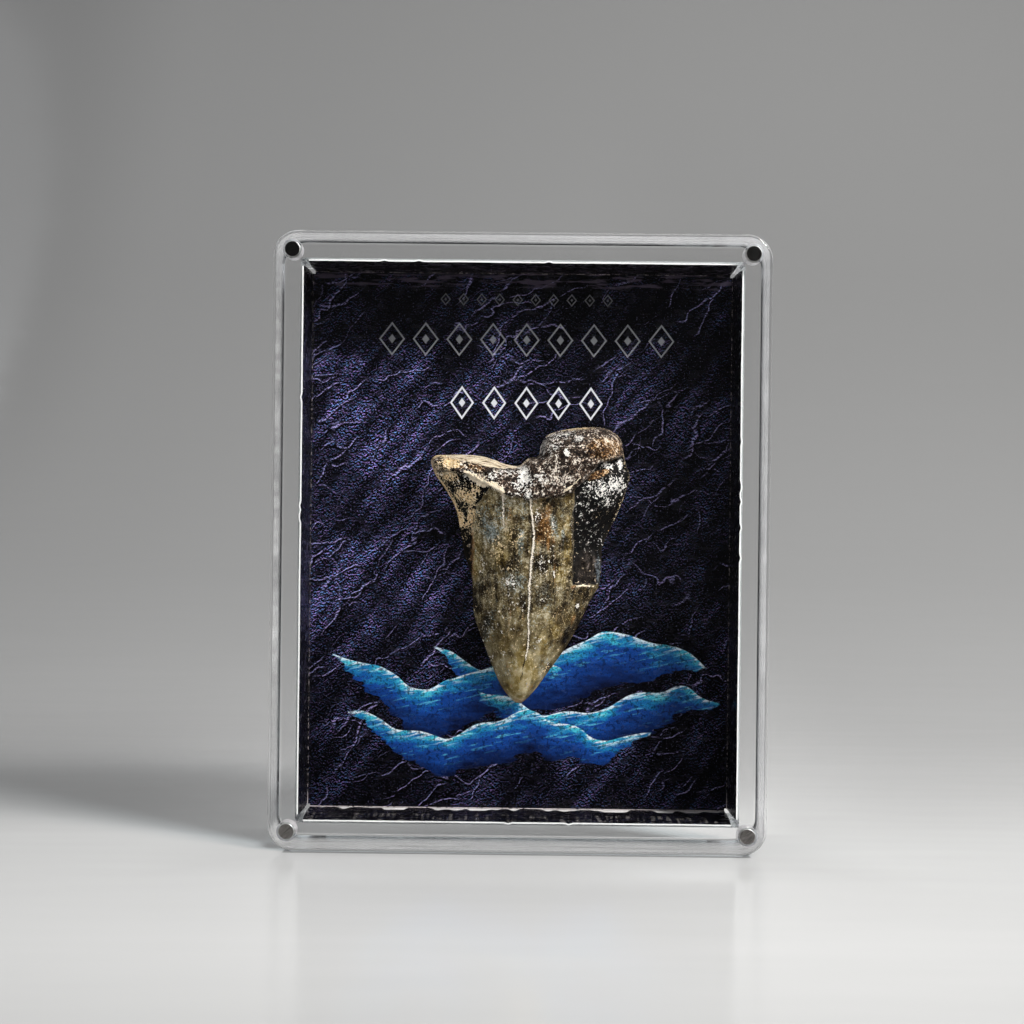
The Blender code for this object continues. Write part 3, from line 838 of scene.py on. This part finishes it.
# marks on the tooth: x, z, half width, half height, turn in degrees where there is one, and strength
toothSpots = {
    "white": [
        (0.8, 87, 1.9, 3.2, 12, 0.72), (-3.6, 87.6, 2.4, 1.4, 20, 0.45), (4.6, 86.4, 2.6, 1.8, 0.4),
        (0.2, 84.2, 1.9, 1.6, 0.55), (1.8, 82.6, 1.2, 1.4, 0.7), (6.8, 95, 3.2, 3.4, 0.46),
        (9.5, 96.8, 4.5, 1.4, 12, 0.44), (13.6, 96, 1.3, 1, 20, 0.7), (10.7, 92.5, 0.7, 1.3, 10, 0.72),
        (5.2, 93.6, 1.2, 2.4, 0.55), (20.5, 89.7, 1.8, 0.9, -5, 0.66), (23.5, 90, 0.9, 1.6, 0.64),
        (22.6, 85.2, 2.8, 2.6, 0.62), (19.4, 83.8, 2.8, 2.8, 20, 0.6), (16.4, 83.9, 2.6, 2.2, 0.48),
        (20.5, 80.9, 2.2, 1.4, 0.58), (14, 77.6, 0.4, 0.7, 0.95), (16, 76.1, 0.5, 0.4, 0.9),
        (17.2, 79.2, 0.8, 0.3, 10, 0.9), (17.9, 75.6, 0.5, 0.6, 30, 0.85), (19.4, 72, 1.6, 2.4, 0.34),
        (16.5, 72.5, 3.6, 5, 0.28), (15, 79.5, 3, 3, 0.36), (-2.4, 82, 2, 1.2, 0.4),
        (-1.6, 85, 0.9, 0.6, 0.8), (-6.3, 86.6, 1.8, 1.6, 0.48), (-12, 87.2, 2.2, 1.2, -30, 0.45),
        (4.1, 77.6, 0.9, 2.6, 0.52), (5, 66, 1.7, 2.6, 0.48), (8, 75.5, 0.7, 2.2, 10, 0.44),
        (-2.3, 62.2, 2.4, 1.6, 10, 0.58), (-0.9, 61.2, 1.2, 1.3, 0.6), (13.8, 56.4, 0.55, 0.8, 0.98),
        (8.1, 64.2, 0.25, 1.5, 8, 0.85), (-9, 66.4, 1.2, 2.4, 0.44), (-9.2, 64, 0.5, 0.8, 0.7),
        (-4, 50.1, 0.5, 0.6, 0.95), (-4, 53.7, 0.4, 0.35, 0.9), (-1.5, 51, 1.1, 1, 0.5),
        (-3.5, 44.8, 0.7, 0.6, 30, 0.62), (-2, 42.7, 0.5, 0.3, 0.85), (4.4, 48.2, 0.9, 1.2, 0.55),
        (4, 46.2, 0.4, 0.5, 0.8), (9.5, 48.1, 0.5, 0.3, -20, 0.85), (5.8, 58, 0.8, 0.9, 35, 0.52),
        (-7, 51.5, 2.5, 5, -12, 0.38), (-8.6, 47.6, 0.35, 0.5, 0.9), (-6.6, 43.6, 0.8, 2.4, -18, 0.55),
        (-4.6, 39.8, 0.5, 1.6, -22, 0.45), (-1.3, 35.4, 0.25, 0.6, 0.7), (7.2, 42.6, 0.9, 0.8, 40, 0.55),
        (-11.3, 54.9, 0.4, 0.9, 0.8), (-1, 57, 3.2, 4, 0.36), (12.2, 74, 0.4, 5, 0.42),
        (10.1, 72.6, 0.22, 2.2, 0.75), (7.2, 69, 1.6, 3.6, 0.38),
    ],
    "tan": [
        (-16.5, 90, 2.2, 1.3, -8, 0.98), (-17, 86.9, 2.2, 1.4, 0.58), (-19.6, 89.4, 1.2, 1.2, 0.4),
        (-12.6, 82, 2.4, 1.5, -30, 0.66), (-14.6, 82.6, 0.9, 1.4, 0.6), (-11.6, 77.4, 1, 2.4, 0.72),
        (-14, 76.8, 0.8, 2, 10, 0.72), (-13, 75.4, 1.6, 0.7, 0.62), (-10.6, 84, 1.6, 1, -20, 0.5),
        (-2.4, 65.1, 0.8, 0.45, 0.98), (-1.5, 72, 2.2, 3, 0.4), (-5.4, 69.5, 2, 3.4, 0.38),
        (6.6, 73.6, 1.5, 4.2, 0.4), (6.4, 40.9, 1.7, 0.5, 52, 0.75), (9.2, 45.2, 1.2, 0.3, 58, 0.6),
        (6.2, 97.2, 2.6, 0.6, 32, 0.7), (12.4, 98.4, 4, 0.4, 3, 0.62), (7, 93.6, 1.4, 1.4, 0.5),
    ],
    "rust": [
        (19.5, 93.6, 4.6, 3, 0.95), (18.3, 87.6, 3.2, 0.9, 24, 0.95), (22.8, 94.4, 1.4, 2.6, 0.7),
        (-11.3, 69, 0.5, 7, 0.75), (5.6, 76, 2.6, 5.4, 0.85), (6.3, 72, 2, 2.2, 0.7),
        (-11.2, 89, 3.2, 0.9, -14, 0.9), (-14, 89.2, 1.6, 0.8, 0.8), (12.8, 61, 0.9, 0.35, 0.95),
        (12.9, 53, 0.5, 1.4, -20, 0.75), (15.7, 55.6, 0.7, 0.5, 40, 0.8), (8.2, 66.2, 0.3, 5, 0.7),
        (-2.9, 35, 1.2, 1.6, -30, 0.45), (0.4, 33.2, 1.6, 0.8, 0.7), (-3, 78, 1.6, 2.4, 0.35),
        (2.8, 36.4, 0.8, 2.2, 30, 0.4),
    ],
    "bloom": [
        (-6.8, 73.8, 2.2, 2.8, 0.95), (0.2, 71, 0.8, 4.4, 0.9), (8, 75.8, 0.9, 3.2, 10, 0.9),
        (-4.6, 79, 3, 2.4, 0.5), (-1, 62.4, 3, 2.4, 0.75), (-8.8, 77.5, 1.8, 3.6, 0.5),
        (0.4, 78.6, 1.4, 3, 0.55), (10.2, 72.8, 0.4, 2.6, 0.8), (6, 58.5, 2.2, 3, 0.4),
        # the last spot here, on the chunk's right edge, is painted highlight on its glassy facets
        (-7.4, 50.5, 1.2, 5.6, -14, 0.5), (18.8, 65.2, 0.8, 3.6, 0.8),
    ],
    "gold": [
        (16.2, 65.4, 2.9, 3.8, 0.9), (11.2, 73, 1.1, 9.5, 1), (9.4, 76, 0.5, 6, 0.6),
        (-10.2, 66, 1.4, 8, 0.8), (9.8, 62.5, 1.6, 4.2, 0.8), (-4.6, 66, 1.8, 4.4, 0.6),
        (1, 41, 4.2, 6.4, 0.9), (-0.5, 36.4, 2.8, 3.4, 1), (5.8, 47, 3.4, 6, -24, 0.5),
        (-2.2, 44.5, 3, 6, 0.45),
    ],
    "dark": [
        (-1.2, 66.8, 1.3, 2.6, 0.9), (5.3, 68, 1.6, 3.4, 0.9), (-7.1, 76.8, 0.55, 0.6, 1),
        (1, 56, 0.8, 3.4, 0.7), (5.4, 58.6, 1.8, 3.2, 0.55), (-10.2, 58, 1.8, 5, -6, 0.7),
        (-8.6, 50.4, 1.6, 5, -14, 0.7), (12, 49.6, 1.6, 4.4, -32, 0.6), (-10.5, 88.2, 3.6, 0.8, -14, 0.9),
        (-13, 79.2, 1.6, 1.8, 0.9), (-15.5, 84.6, 1.8, 2, 0.7), (6.9, 41.2, 1.3, 0.7, 50, 0.8),
        (-18.5, 88, 1.6, 1.4, -40, 0.6), (4.4, 84.6, 3.4, 2, 0.35), (-2.6, 58, 1, 4, 10, 0.45),
    ],
}

toothAreas = ("vein", "hairline", "enamel", "root", "bare", "rim", "cream")

# cracks and veins: points of x, z and half width
toothCracks = [
    [(2.4, 81.7, 0.28), (2.5, 79.7, 0.17), (2.8, 77.4, 0.16), (3.1, 75.1, 0.19), (3.3, 72.5, 0.19),
     (3.1, 69.6, 0.20), (2.8, 67.3, 0.22), (2.6, 64.2, 0.22), (2.4, 61.0, 0.19), (2.4, 58.9, 0.16),
     (2.2, 54.0, 0.15), (2.3, 50.1, 0.16), (2.2, 46.8, 0.15), (1.8, 44.2, 0.14), (1.6, 43.4, 0.07)],
    [(-4.1, 82.6, 0.16), (-4.0, 80.0, 0.11), (-4.0, 77.0, 0.10), (-3.9, 75.2, 0.07)],
]
toothVeins = [
    [(-13.0, 87.9, 0.50), (-11.6, 87.0, 0.75), (-10.2, 86.0, 0.95), (-8.6, 85.1, 0.80), (-7.0, 85.0, 0.62),
     (-5.4, 84.4, 0.80), (-4.3, 83.3, 0.62), (-4.0, 82.0, 0.34)],
    [(10.2, 83.3, 0.28), (12.6, 85.4, 0.22), (14.4, 87.2, 0.16)],
    [(13.0, 61.1, 0.16), (15.4, 61.2, 0.20), (17.8, 61.0, 0.16)],
]
toothHairlines = [
    [(1.6, 43.8, 0.12), (1.1, 42.0, 0.14), (0.7, 39.3, 0.10), (0.3, 37.7, 0.06)],
    [(-5.6, 68.0, 0.10), (-6.0, 64.0, 0.12), (-5.8, 60.6, 0.08)],
    [(7.6, 69.4, 0.08), (7.9, 62.0, 0.12), (8.4, 56.4, 0.08)],
]


# colours of each surface from its darkest to its palest spots: place, red, green and blue
toothTones = {
    "enamel": [
        (0.08, 0.005, 0.003, 0.002), (0.26, 0.034, 0.022, 0.008), (0.44, 0.11, 0.08, 0.033),
        (0.58, 0.19, 0.149, 0.07), (0.74, 0.32, 0.268, 0.156), (0.92, 0.6, 0.54, 0.41),
    ],
    "ochre": [
        (0.08, 0.012, 0.007, 0.002), (0.34, 0.11, 0.07, 0.016), (0.56, 0.26, 0.193, 0.068),
        (0.9, 0.64, 0.55, 0.35),
    ],
    "rusty": [
        (0.08, 0.01, 0.004, 0.001), (0.4, 0.11, 0.042, 0.007), (0.62, 0.28, 0.12, 0.026),
        (0.9, 0.6, 0.42, 0.23),
    ],
    "bluish": [
        (0.08, 0.004, 0.005, 0.005), (0.34, 0.048, 0.062, 0.06), (0.56, 0.13, 0.168, 0.165),
        (0.84, 0.44, 0.51, 0.52),
    ],
    "root": [
        (0.16, 0.003, 0.002, 0.002), (0.4, 0.034, 0.02, 0.013), (0.56, 0.105, 0.068, 0.048),
        (0.68, 0.2, 0.145, 0.108), (0.8, 0.38, 0.3, 0.235), (0.95, 0.64, 0.55, 0.46),
    ],
    "lobe": [
        (0.16, 0.004, 0.002, 0.001), (0.38, 0.05, 0.02, 0.006), (0.58, 0.2, 0.094, 0.028),
        (0.76, 0.42, 0.26, 0.12), (0.95, 0.8, 0.68, 0.5),
    ],
    "bare": [
        (0.3, 0.0004, 0.0003, 0.0003), (0.56, 0.002, 0.0012, 0.0009), (0.72, 0.022, 0.014, 0.01),
        (0.9, 0.24, 0.215, 0.19),
    ],
    "chunk": [
        (0.25, 0.008, 0.005, 0.003), (0.55, 0.06, 0.044, 0.034), (0.8, 0.3, 0.25, 0.22),
    ],
}


def smoothstep(low, high, value):
    t = min(max((value - low) / (high - low), 0.0), 1.0)
    return t * t * (3 - 2 * t)


def wobble(*place):  # smooth noise between -1 and 1
    return noise.noise(Vector(place))


def along(stations, value, column=1):
    if value <= stations[0][0]:
        return stations[0][column]
    for a, b in zip(stations, stations[1:]):
        if value <= b[0]:
            return a[column] + (b[column] - a[column]) * (value - a[0]) / (b[0] - a[0])
    return stations[-1][column]


def closedCurve(points, steps):  # a smooth closed line through the points, in even steps
    dense, count = [], len(points)
    for i in range(count):
        before, start, end, after = (Vector((*points[(i + k) % count], 0)) for k in (-1, 0, 1, 2))
        reach = (end - start).length / 3
        leave = start + (end - before).normalized() * reach
        arrive = end - (after - start).normalized() * reach
        dense += interpolate_bezier(start, leave, arrive, end, 12)[:-1]
    dense.append(dense[0])
    lengths = [0.0]
    for a, b in zip(dense, dense[1:]):
        lengths.append(lengths[-1] + (b - a).length)
    line, k = [], 0
    for i in range(steps):
        wanted = lengths[-1] * i / steps
        while lengths[k + 1] < wanted:
            k += 1
        point = dense[k].lerp(dense[k + 1], (wanted - lengths[k]) / (lengths[k + 1] - lengths[k]))
        line.append((point.x, point.y))
    return line


class Outline:
    def __init__(self):
        self.steps = closedCurve(tooth["outline"], 4 * tooth["cells"])
        self.fine = closedCurve(tooth["outline"], 3600)
        self.tree = kdtree.KDTree(len(self.fine))
        for i, (x, z) in enumerate(self.fine):
            self.tree.insert((x, z, 0), i)
        self.tree.balance()
        self.widths = {}

    def distance(self, x, z):
        return self.tree.find((x, z, 0))[2]

    def sides(self, z):  # left and right x of the crown, kept for every tenth of a millimetre
        key = round(z * 10)
        if key not in self.widths:
            low = high = tooth["centre"][0]
            for (ax, az), (bx, bz) in zip(self.fine, self.fine[1:] + self.fine[:1]):
                if (az - key / 10) * (bz - key / 10) <= 0 and az != bz:
                    x = ax + (bx - ax) * (key / 10 - az) / (bz - az)
                    low, high = min(low, x), max(high, x)
            self.widths[key] = low, high
        return self.widths[key]


def rootPits():
    draw, pits = random.Random(tooth["pitSeed"]), []
    while len(pits) < tooth["pits"]:
        x, z = draw.uniform(-18, 24), draw.uniform(83, 97)
        if z > along(tooth["rootEdge"], x) + 1:
            pits.append((x, z, draw.uniform(0.9, 1.7), draw.uniform(0.35, 0.8)))
    return pits


def spotted(spots, x, z):
    most = 0.0
    for sx, sz, wide, tall, *turn, strength in spots:
        dx, dz, reach = x - sx, z - sz, 1.6 * max(wide, tall)
        if strength > most and abs(dx) < reach and abs(dz) < reach:
            a = math.radians(turn[0] if turn else 0)
            c, s = math.cos(a), math.sin(a)
            r = math.hypot((dx * c + dz * s) / wide, (dz * c - dx * s) / tall)
            most = max(most, strength * (1 - smoothstep(0.35, 1.45, r)))
    return most


def traced(lines, x, z):  # 1 on a line, 0.5 at its half width and 0 at twice that
    most = 0.0
    for points in lines:
        for (ax, az, aw), (bx, bz, bw) in zip(points, points[1:]):
            if min(ax, bx) - 1.5 < x < max(ax, bx) + 1.5 and min(az, bz) - 1.5 < z < max(az, bz) + 1.5:
                ux, uz = bx - ax, bz - az
                t = min(max(((x - ax) * ux + (z - az) * uz) / (ux * ux + uz * uz), 0), 1)
                d = math.hypot(x - ax - ux * t, z - az - uz * t) / (aw + (bw - aw) * t)
                most = max(most, 1 - d / 2)
    return most


def toothFront(x, z, outline, pits):  # height over the card, and the marks there
    up = z - tooth["tip"]
    edge = outline.distance(x, z)
    rim = smoothstep(0, 1.2, edge)
    near = wobble(x * 0.9, z * 0.9, 1.7) * 0.35 + wobble(x * 2.4, z * 2.4, 4.2) * 0.15
    overRoot = z - along(tooth["rootEdge"], x) + near
    inRoot = smoothstep(-0.35, 0.5, overRoot)
    low, high = outline.sides(z)
    across = (2 * x - low - high) / max(high - low, 0.5)
    crownDome = 1 - min(abs(across), 1.0) ** 2.3
    rounding = 1 - min(edge / tooth["rootRounding"], 1.0)
    rootDome = (1 - rounding ** 2) ** 0.6
    toRoot = smoothstep(*tooth["crownTop"], z)
    dome = crownDome * (1 - toRoot) + rootDome * toRoot
    ground = along(tooth["stations"], up)
    height = ground + along(tooth["stations"], up, 2) * dome
    overLeft = along(tooth["enamelLeft"], z) - x + near * 0.6
    leftStrip = smoothstep(-0.15, 0.2, overLeft) * smoothstep(54, 60, z)
    overRight = x - tooth["enamelRight"] + near * 0.7 - 0.12 * math.sin(z * 1.1)
    overLedge = z - tooth["breakLedge"] + near * 0.5
    broken = smoothstep(-0.2, 0.25, overRight) * smoothstep(-0.12, 0.15, overLedge)
    loss = max(tooth["leftStripDepth"] * leftStrip, tooth["breakDepth"] * broken)
    chunkX, chunkZ, halfX, halfZ, rise = tooth["chunk"]
    chunk = max(0.0, 1 - max(abs(x - chunkX) / halfX, abs(z - chunkZ) / halfZ))
    facet = 0.35 * noise.cell(Vector((x * 0.8 + z * 0.3, z * 0.55, 2.0))) * min(1, chunk * 4)
    loss -= (min(rise, 2.2 * rise * chunk) + facet) * broken
    height -= loss * (1 - inRoot) * rim
    height += tooth["rootStep"] * inRoot * rim
    for sx, sz, wide, tall, rise in tooth["swellings"]:
        height += rise * math.exp(-((x - sx) / wide) ** 2 - ((z - sz) / tall) ** 2) * inRoot * rim
    rough = wobble(x * 0.28, z * 0.28, 3.1)
    fine = wobble(x * 0.7, z * 0.7, 8.4)
    crumb = noise.fractal(Vector((x * 1.9, z * 1.9, 6.2)), 0.9, 2.1, 4)
    bare = max(broken, leftStrip) * (1 - inRoot)
    height += (0.25 * rough + (0.05 + 0.45 * inRoot + 0.25 * broken) * fine) * rim
    height += (0.01 + 0.13 * inRoot + 0.09 * bare) * crumb * rim
    ridge = wobble(x * 1.6, z * 0.09, 5.0) + 0.5 * wobble(x * 3.7, z * 0.2, 9.0)
    height += 0.07 * ridge * (1 - inRoot) * (1 - bare) * rim * smoothstep(38, 56, z)
    for px, pz, radius, depth in pits:
        if abs(x - px) < radius and abs(z - pz) < radius:
            height -= depth * (1 - smoothstep(0.3, 1.0, math.hypot(x - px, z - pz) / radius)) * rim
    enamel = (1 - inRoot) * (1 - max(broken, leftStrip))
    marks = {name: spotted(spots, x, z) for name, spots in toothSpots.items()}
    wx = x + 0.22 * wobble(x * 1.1, z * 1.1, 0.4)
    marks["vein"] = traced(toothVeins, wx + near * 0.5, z + near * 0.5)
    marks["hairline"] = traced(toothHairlines, wx, z)
    marks["enamel"] = enamel
    marks["root"] = inRoot
    marks["bare"] = max(bare, 0.9 * smoothstep(0.3, 1.0, overLeft) * (1 - inRoot) * smoothstep(74, 78, z))
    marks["rim"] = 1 - smoothstep(0.0, 1.0, edge)
    height += 0.22 * smoothstep(0.3, 0.8, marks["vein"]) * rim
    height -= 0.10 * smoothstep(0.4, 0.9, marks["hairline"]) + 0.35 * smoothstep(0.5, 1, marks["dark"]) * \
        smoothstep(0.7, 0.2, math.hypot(x + 7.1, z - 76.8))
    over = z - along(tooth["fractureEdge"], x) + near * 0.8
    marks["cream"] = 0.0
    if x < tooth["fractureEdge"][-1][0]:
        marks["cream"] = smoothstep(-0.25, 0.30, over) * smoothstep(-19.2, -18.0, x)
        if over > 0:
            layered = 0.16 * wobble(x * 0.35, z * 3.2, 7.0)
            height = min(height, ground + tooth["fractureStart"] - tooth["fractureFall"] * over + layered)
    return max(height, ground + 0.1 * rim), marks


def toothBack(x, z, outline):
    edge = outline.distance(x, z)
    hollow = 0.25 * (1 + wobble(x * 0.2, z * 0.2, 5.5))
    away = 1 - min(edge / tooth["backRounding"], 1.0)
    return along(tooth["stations"], z - tooth["tip"]) * away ** 1.8 + hollow * (1 - away)


def rimStep(a, b):  # which step of the outline a point of the square's border goes to
    if b >= 1 - 1e-6:
        side, place = 0, (a + 1) / 2
    elif a >= 1 - 1e-6:
        side, place = 1, (1 - b) / 2
    elif b <= -1 + 1e-6:
        side, place = 2, (1 - a) / 2
    else:
        side, place = 3, (b + 1) / 2
    return round((side + place) * tooth["cells"]) % (4 * tooth["cells"])


def makeTooth():
    outline, pits = Outline(), rootPits()
    mesh = bmesh.new()
    bmesh.ops.create_grid(mesh, x_segments=tooth["cells"], y_segments=tooth["cells"], size=1)
    layers = {name: mesh.verts.layers.float.new(name) for name in (*toothSpots, *toothAreas)}
    front = list(mesh.verts)
    copy = bmesh.ops.duplicate(mesh, geom=mesh.verts[:] + mesh.edges[:] + mesh.faces[:])["geom"]
    back = [v for v in copy if isinstance(v, bmesh.types.BMVert)]
    bmesh.ops.reverse_faces(mesh, faces=[f for f in copy if isinstance(f, bmesh.types.BMFace)])
    centreX, centreZ = tooth["centre"]
    for verts, isFront in ((front, True), (back, False)):
        for v in verts:
            a, b = v.co.x, v.co.y
            square = max(abs(a), abs(b))
            ring = math.sin(square * math.pi / 2) ** 0.9
            x, z = centreX, centreZ
            if square:
                edgeX, edgeZ = outline.steps[rimStep(a / square, b / square)]
                x += (edgeX - x) * ring
                z += (edgeZ - z) * ring
            height, marks = toothFront(x, z, outline, pits)
            if square > 1 - 1e-6:
                height = along(tooth["stations"], z - tooth["tip"])
            elif not isFront:
                height = toothBack(x, z, outline)
            for name, value in marks.items():
                v[layers[name]] = value if isFront or name in ("enamel", "root", "bare") else value * 0.5
            v.co = (x * mm, (tooth["card"] - height) * mm, z * mm)
    bmesh.ops.remove_doubles(mesh, verts=mesh.verts, dist=0.004 * mm)
    piece = newObject("tooth", mesh, toothMaterial())
    piece.data.shade_smooth()
    fasten(piece, "megalodon_tooth")
    print("tooth ready,", len(piece.data.polygons), "faces")


def swing(*pairs):  # sum of noises, each turned to swing about 0 and weighed
    total = 0
    for value, weight in pairs:
        total = (value - 0.5) * weight + total
    return total


def spread(value, by=3.0):  # widens a noise that keeps near its middle
    return (value - 0.5) * by + 0.5


def crackLine(x, z, points):  # a crack that runs down the tooth, thin at any distance
    low, high = points[-1][1], points[0][1]
    stops = [((pz - low) / (high - low), (px + 6) / 12, pw, 0) for px, pz, pw in reversed(points)]
    path = ramp((z - low) / (high - low), stops)
    place, width = [path.node("SeparateColor", {}, {0: path}, i) for i in range(2)]
    inside = step(z, low - 0.3, low + 0.3) * step(z, high + 0.3, high - 0.3)
    return abs(x - (place * 12 - 6)) / (width + 0.02), inside


def toothMaterial():
    material, w = newMaterial("fossilTooth")
    place = objectPlace(w)
    x, y, z = parts(place)
    mark = {name: attribute(w, name) for name in (*toothSpots, *toothAreas)}
    cloud = grain(place, 0.22, 2, 0.6)
    blotch = grain(place, 0.9, 3, 0.65)
    speck = grain(place, 2.3, 2, 0.72)
    dust = grain(place, 5.2, 1, 0.7)
    big = grain(place, 0.34, 2, 0.6)
    marble = grain(place, 1.0, 3, 0.7, 1.3)
    streak = grain(stretched(place, (1, 1, 0.12)), 0.85, 3, 0.66)
    thread = grain(stretched(place, (1, 1, 0.07)), 4.2, 2, 0.7)
    crumb = 1 - cells(place, 1.75) * 1.15  # 1 at the middle of each crumb
    seed = 1 - cells(place, 3.1) * 1.15
    crust = crumb * 0.2 + spread(speck) * 0.45 + spread(blotch) * 0.35
    ragged = spread(blotch) * 0.4 + spread(speck) * 0.6

    high = step(z, 42, 64) * 0.7 + 0.3  # the tip is plainer
    waver = swing((big, 1.1), (streak, high * 0.9 + 0.2), (thread, high * 0.4 + 0.2))
    waver = waver + swing((blotch, 0.7), (marble, 0.8), (speck, 0.8)) * high
    # lighter towards the tip and slightly darker about z 61; painted light: lighter on the left above z 60
    # and darker towards the right, against the lamp's stronger light from the right
    tone = waver + 0.44 + step(z, 56, 36) * 0.17 - step(abs(z - 61), 8, 2) * 0.02
    tone = tone + step(x, 0, -9) * step(z, 60, 68) * 0.07 - step(x, 5, 11) * 0.1 - mark["dark"] * 0.3
    tone = tone + mark["gold"] * 0.05 + mark["bloom"] * 0.05
    names = ("enamel", "ochre", "rusty", "bluish")
    enamel, ochre, rusty, bluish = [ramp(tone, toothTones[name]) for name in names]
    wide = spread(cloud, 3.5)
    enamel = mix(step(mark["gold"] * 0.6 + wide * 0.5, 0.42, 0.72), enamel, ochre)
    enamel = mix(step(mark["rust"] * 0.8 + (streak + speck - 1) * 2.2, 0.34, 0.6) * 0.85, enamel, rusty)
    bloom = mark["bloom"] * 0.75 + (marble + speck - 1) * 2.4 + step(wide, 0.45, 0.2) * 0.12
    enamel = mix(step(bloom, 0.38, 0.6) * 0.85, enamel, bluish)

    # painted glints: tiny pale specks on the enamel
    enamelGlints = step(swing((dust, 1.6), (speck, 1.2), (big, 0.8)), 0.24, 0.3)
    enamel = mix(enamelGlints * high * 0.75, enamel, (0.52, 0.47, 0.36))
    enamel = mix(step(thread + (speck - 0.5) * 0.6, 0.66, 0.72) * high * 0.7, enamel, (0.022, 0.015, 0.007))

    clod = swing((big, 1.2), (blotch, 1.2), (marble, 1.2), (speck, 2.2)) + 0.43 - mark["dark"] * 0.16
    root = ramp(clod, toothTones["root"])
    lobe = ramp(clod, toothTones["lobe"])
    root = mix(step(mark["rust"] + (spread(blotch) - 0.5) * 0.5, 0.3, 0.7), root, lobe)

    fleck = step(seed * 0.16 + spread(speck) * 0.4 + spread(blotch) * 0.44 + (big - 0.5) * 0.9, 0.67, 0.7) \
        * (1 - mark["dark"] * 0.7) * (1 - mark["rust"] * 0.5)
    root = mix(fleck * 0.9, root, mix(step(dust + speck, 0.9, 1.1), (0.62, 0.5, 0.38), (1.0, 0.94, 0.84)))
    root = mix(step(spread(speck) + (big - 0.5) * 0.8, 0.4, 0.28), root, (0.003, 0.002, 0.002))

    gloss = swing((blotch, 1.6), (streak, 1.2), (speck, 1.4)) + 0.38
    bare = ramp(gloss, toothTones["bare"])
    # bluish grey on the bare surface; on the chunk's right edge it is painted highlight on glassy facets
    bare = mix(step(mark["bloom"] + (marble + speck - 1) * 2.2, 0.5, 0.8) * 0.8, bare, (0.26, 0.31, 0.35))
    bare = mix(mark["gold"] * 0.85, bare, ramp(gloss, toothTones["chunk"]))
    bare = mix(step(mark["rust"] + (blotch - 0.5) * 1.5, 0.35, 0.6), bare, lobe)

    colour = mix(step(mark["enamel"] + (spread(blotch) - 0.5) * 0.25, 0.42, 0.54), bare, enamel)
    inRoot = step(mark["root"] + (spread(blotch) - 0.5) * 0.25, 0.42, 0.54)
    colour = mix(inRoot, colour, root)
    # painted shade: the crown darker along its rim
    colour = mix(mark["rim"] * (1 - inRoot) * step(z, 34, 46) * 0.5, colour, (0.022, 0.016, 0.008))

    # the left flank: more tan and white crumbs there, and painted light: its tan paler, against the weaker
    # light on a side that faces away from the lamp
    flank = step(x, -8, -10) * step(z, 71, 76) * (1 - mark["cream"])
    rimHighlight = mark["rim"] * (0.3 + flank * 0.25) * step(z, 70, 80)  # painted highlight: a pale line along the edges
    tan = step(mark["tan"] * 0.72 + flank * 0.29 + rimHighlight + (ragged - 0.5) * 1.5, 0.52, 0.57)
    strew = mark["root"] * 0.13 + flank * 0.14 + step(z, 52, 64) * 0.06
    strew = strew + mark["bare"] * step(z, 76, 88) * 0.15
    white = step(mark["white"] * 0.9 + strew + (crust - 0.5) * 1.5, 0.62, 0.67)
    vein = step(mark["vein"] + (crust - 0.5) * 1.1, 0.48, 0.54)
    wander = x + swing((speck, 1.2), (blotch, 0.7))
    cracks, crackShade = None, None
    for points in toothCracks:
        reach, inside = crackLine(wander, z, points)
        line = step(reach + swing((speck, 2.6), (dust, 2.0)), 1.1, 0.75) * inside
        shade = step(reach, 3.6, 1.0) * inside
        cracks, crackShade = (line, shade) if cracks is None else (larger(cracks, line), larger(crackShade, shade))
    cracks = cracks * step(speck + blotch * 0.5, 0.56, 0.64)
    layered = grain(stretched(turned(place, -8), (0.3, 1, 2.6)), 1.1, 3, 0.65)
    creamTone = mix(step(layered, 0.36, 0.6), (0.32, 0.21, 0.1), (0.82, 0.71, 0.54))
    creamTone = mix(step(layered + (speck - 0.5) * 0.4, 0.44, 0.38) * 0.9, creamTone, (0.07, 0.04, 0.02))
    colour = mix(step(mark["cream"] + (ragged - 0.5) * 0.35, 0.44, 0.54), colour, creamTone)
    sandy = mix(step(speck, 0.35, 0.6), (0.36, 0.2, 0.07), (0.92, 0.72, 0.44))
    # painted light: paler tan on the left flank
    sandy = mix(flank * 0.8, sandy, mix(step(speck, 0.38, 0.58), (0.58, 0.32, 0.11), (0.9, 0.7, 0.42)))
    colour = mix(tan, colour, sandy)
    colour = mix(white, colour, mix(step(dust, 0.35, 0.6), (0.72, 0.67, 0.6), (1.0, 0.97, 0.92)))
    colour = mix(vein, colour, mix(step(dust, 0.35, 0.6), (0.74, 0.55, 0.34), (1.0, 0.91, 0.73)))
    # painted shade beside each crack
    colour = mix(crackShade * 0.55, colour, (0.02, 0.015, 0.009))
    colour = mix(cracks, colour, (0.95, 0.86, 0.73))
    colour = mix(step(mark["hairline"], 0.35, 0.65) * 0.85, colour, (0.01, 0.008, 0.005))

    raised = larger(larger(tan, white), larger(vein, cracks))
    onEnamel = mark["enamel"] * (1 - inRoot) * (1 - raised)
    rough = 0.74 - onEnamel * 0.38 + (blotch - 0.5) * 0.12 - mark["bare"] * (1 - raised) * 0.1
    lumps = raised * 0.55 + speck * (0.25 + mark["root"] * 1.1 + mark["bare"] * 0.5)
    lumps = lumps + thread * onEnamel * 0.2 + seed * mark["root"] * 0.4 + dust * (0.06 + mark["root"] * 0.25)
    shader = principled(w, Base_Color=colour, Roughness=rough, IOR=1.55, Specular_IOR_Level=0.1,
                        Normal=bump(lumps, tooth["relief"], 1.0))
    toOutput(w, shader)
    return material


makeBox()
makeMagnets()
makeCard()
makeTooth()
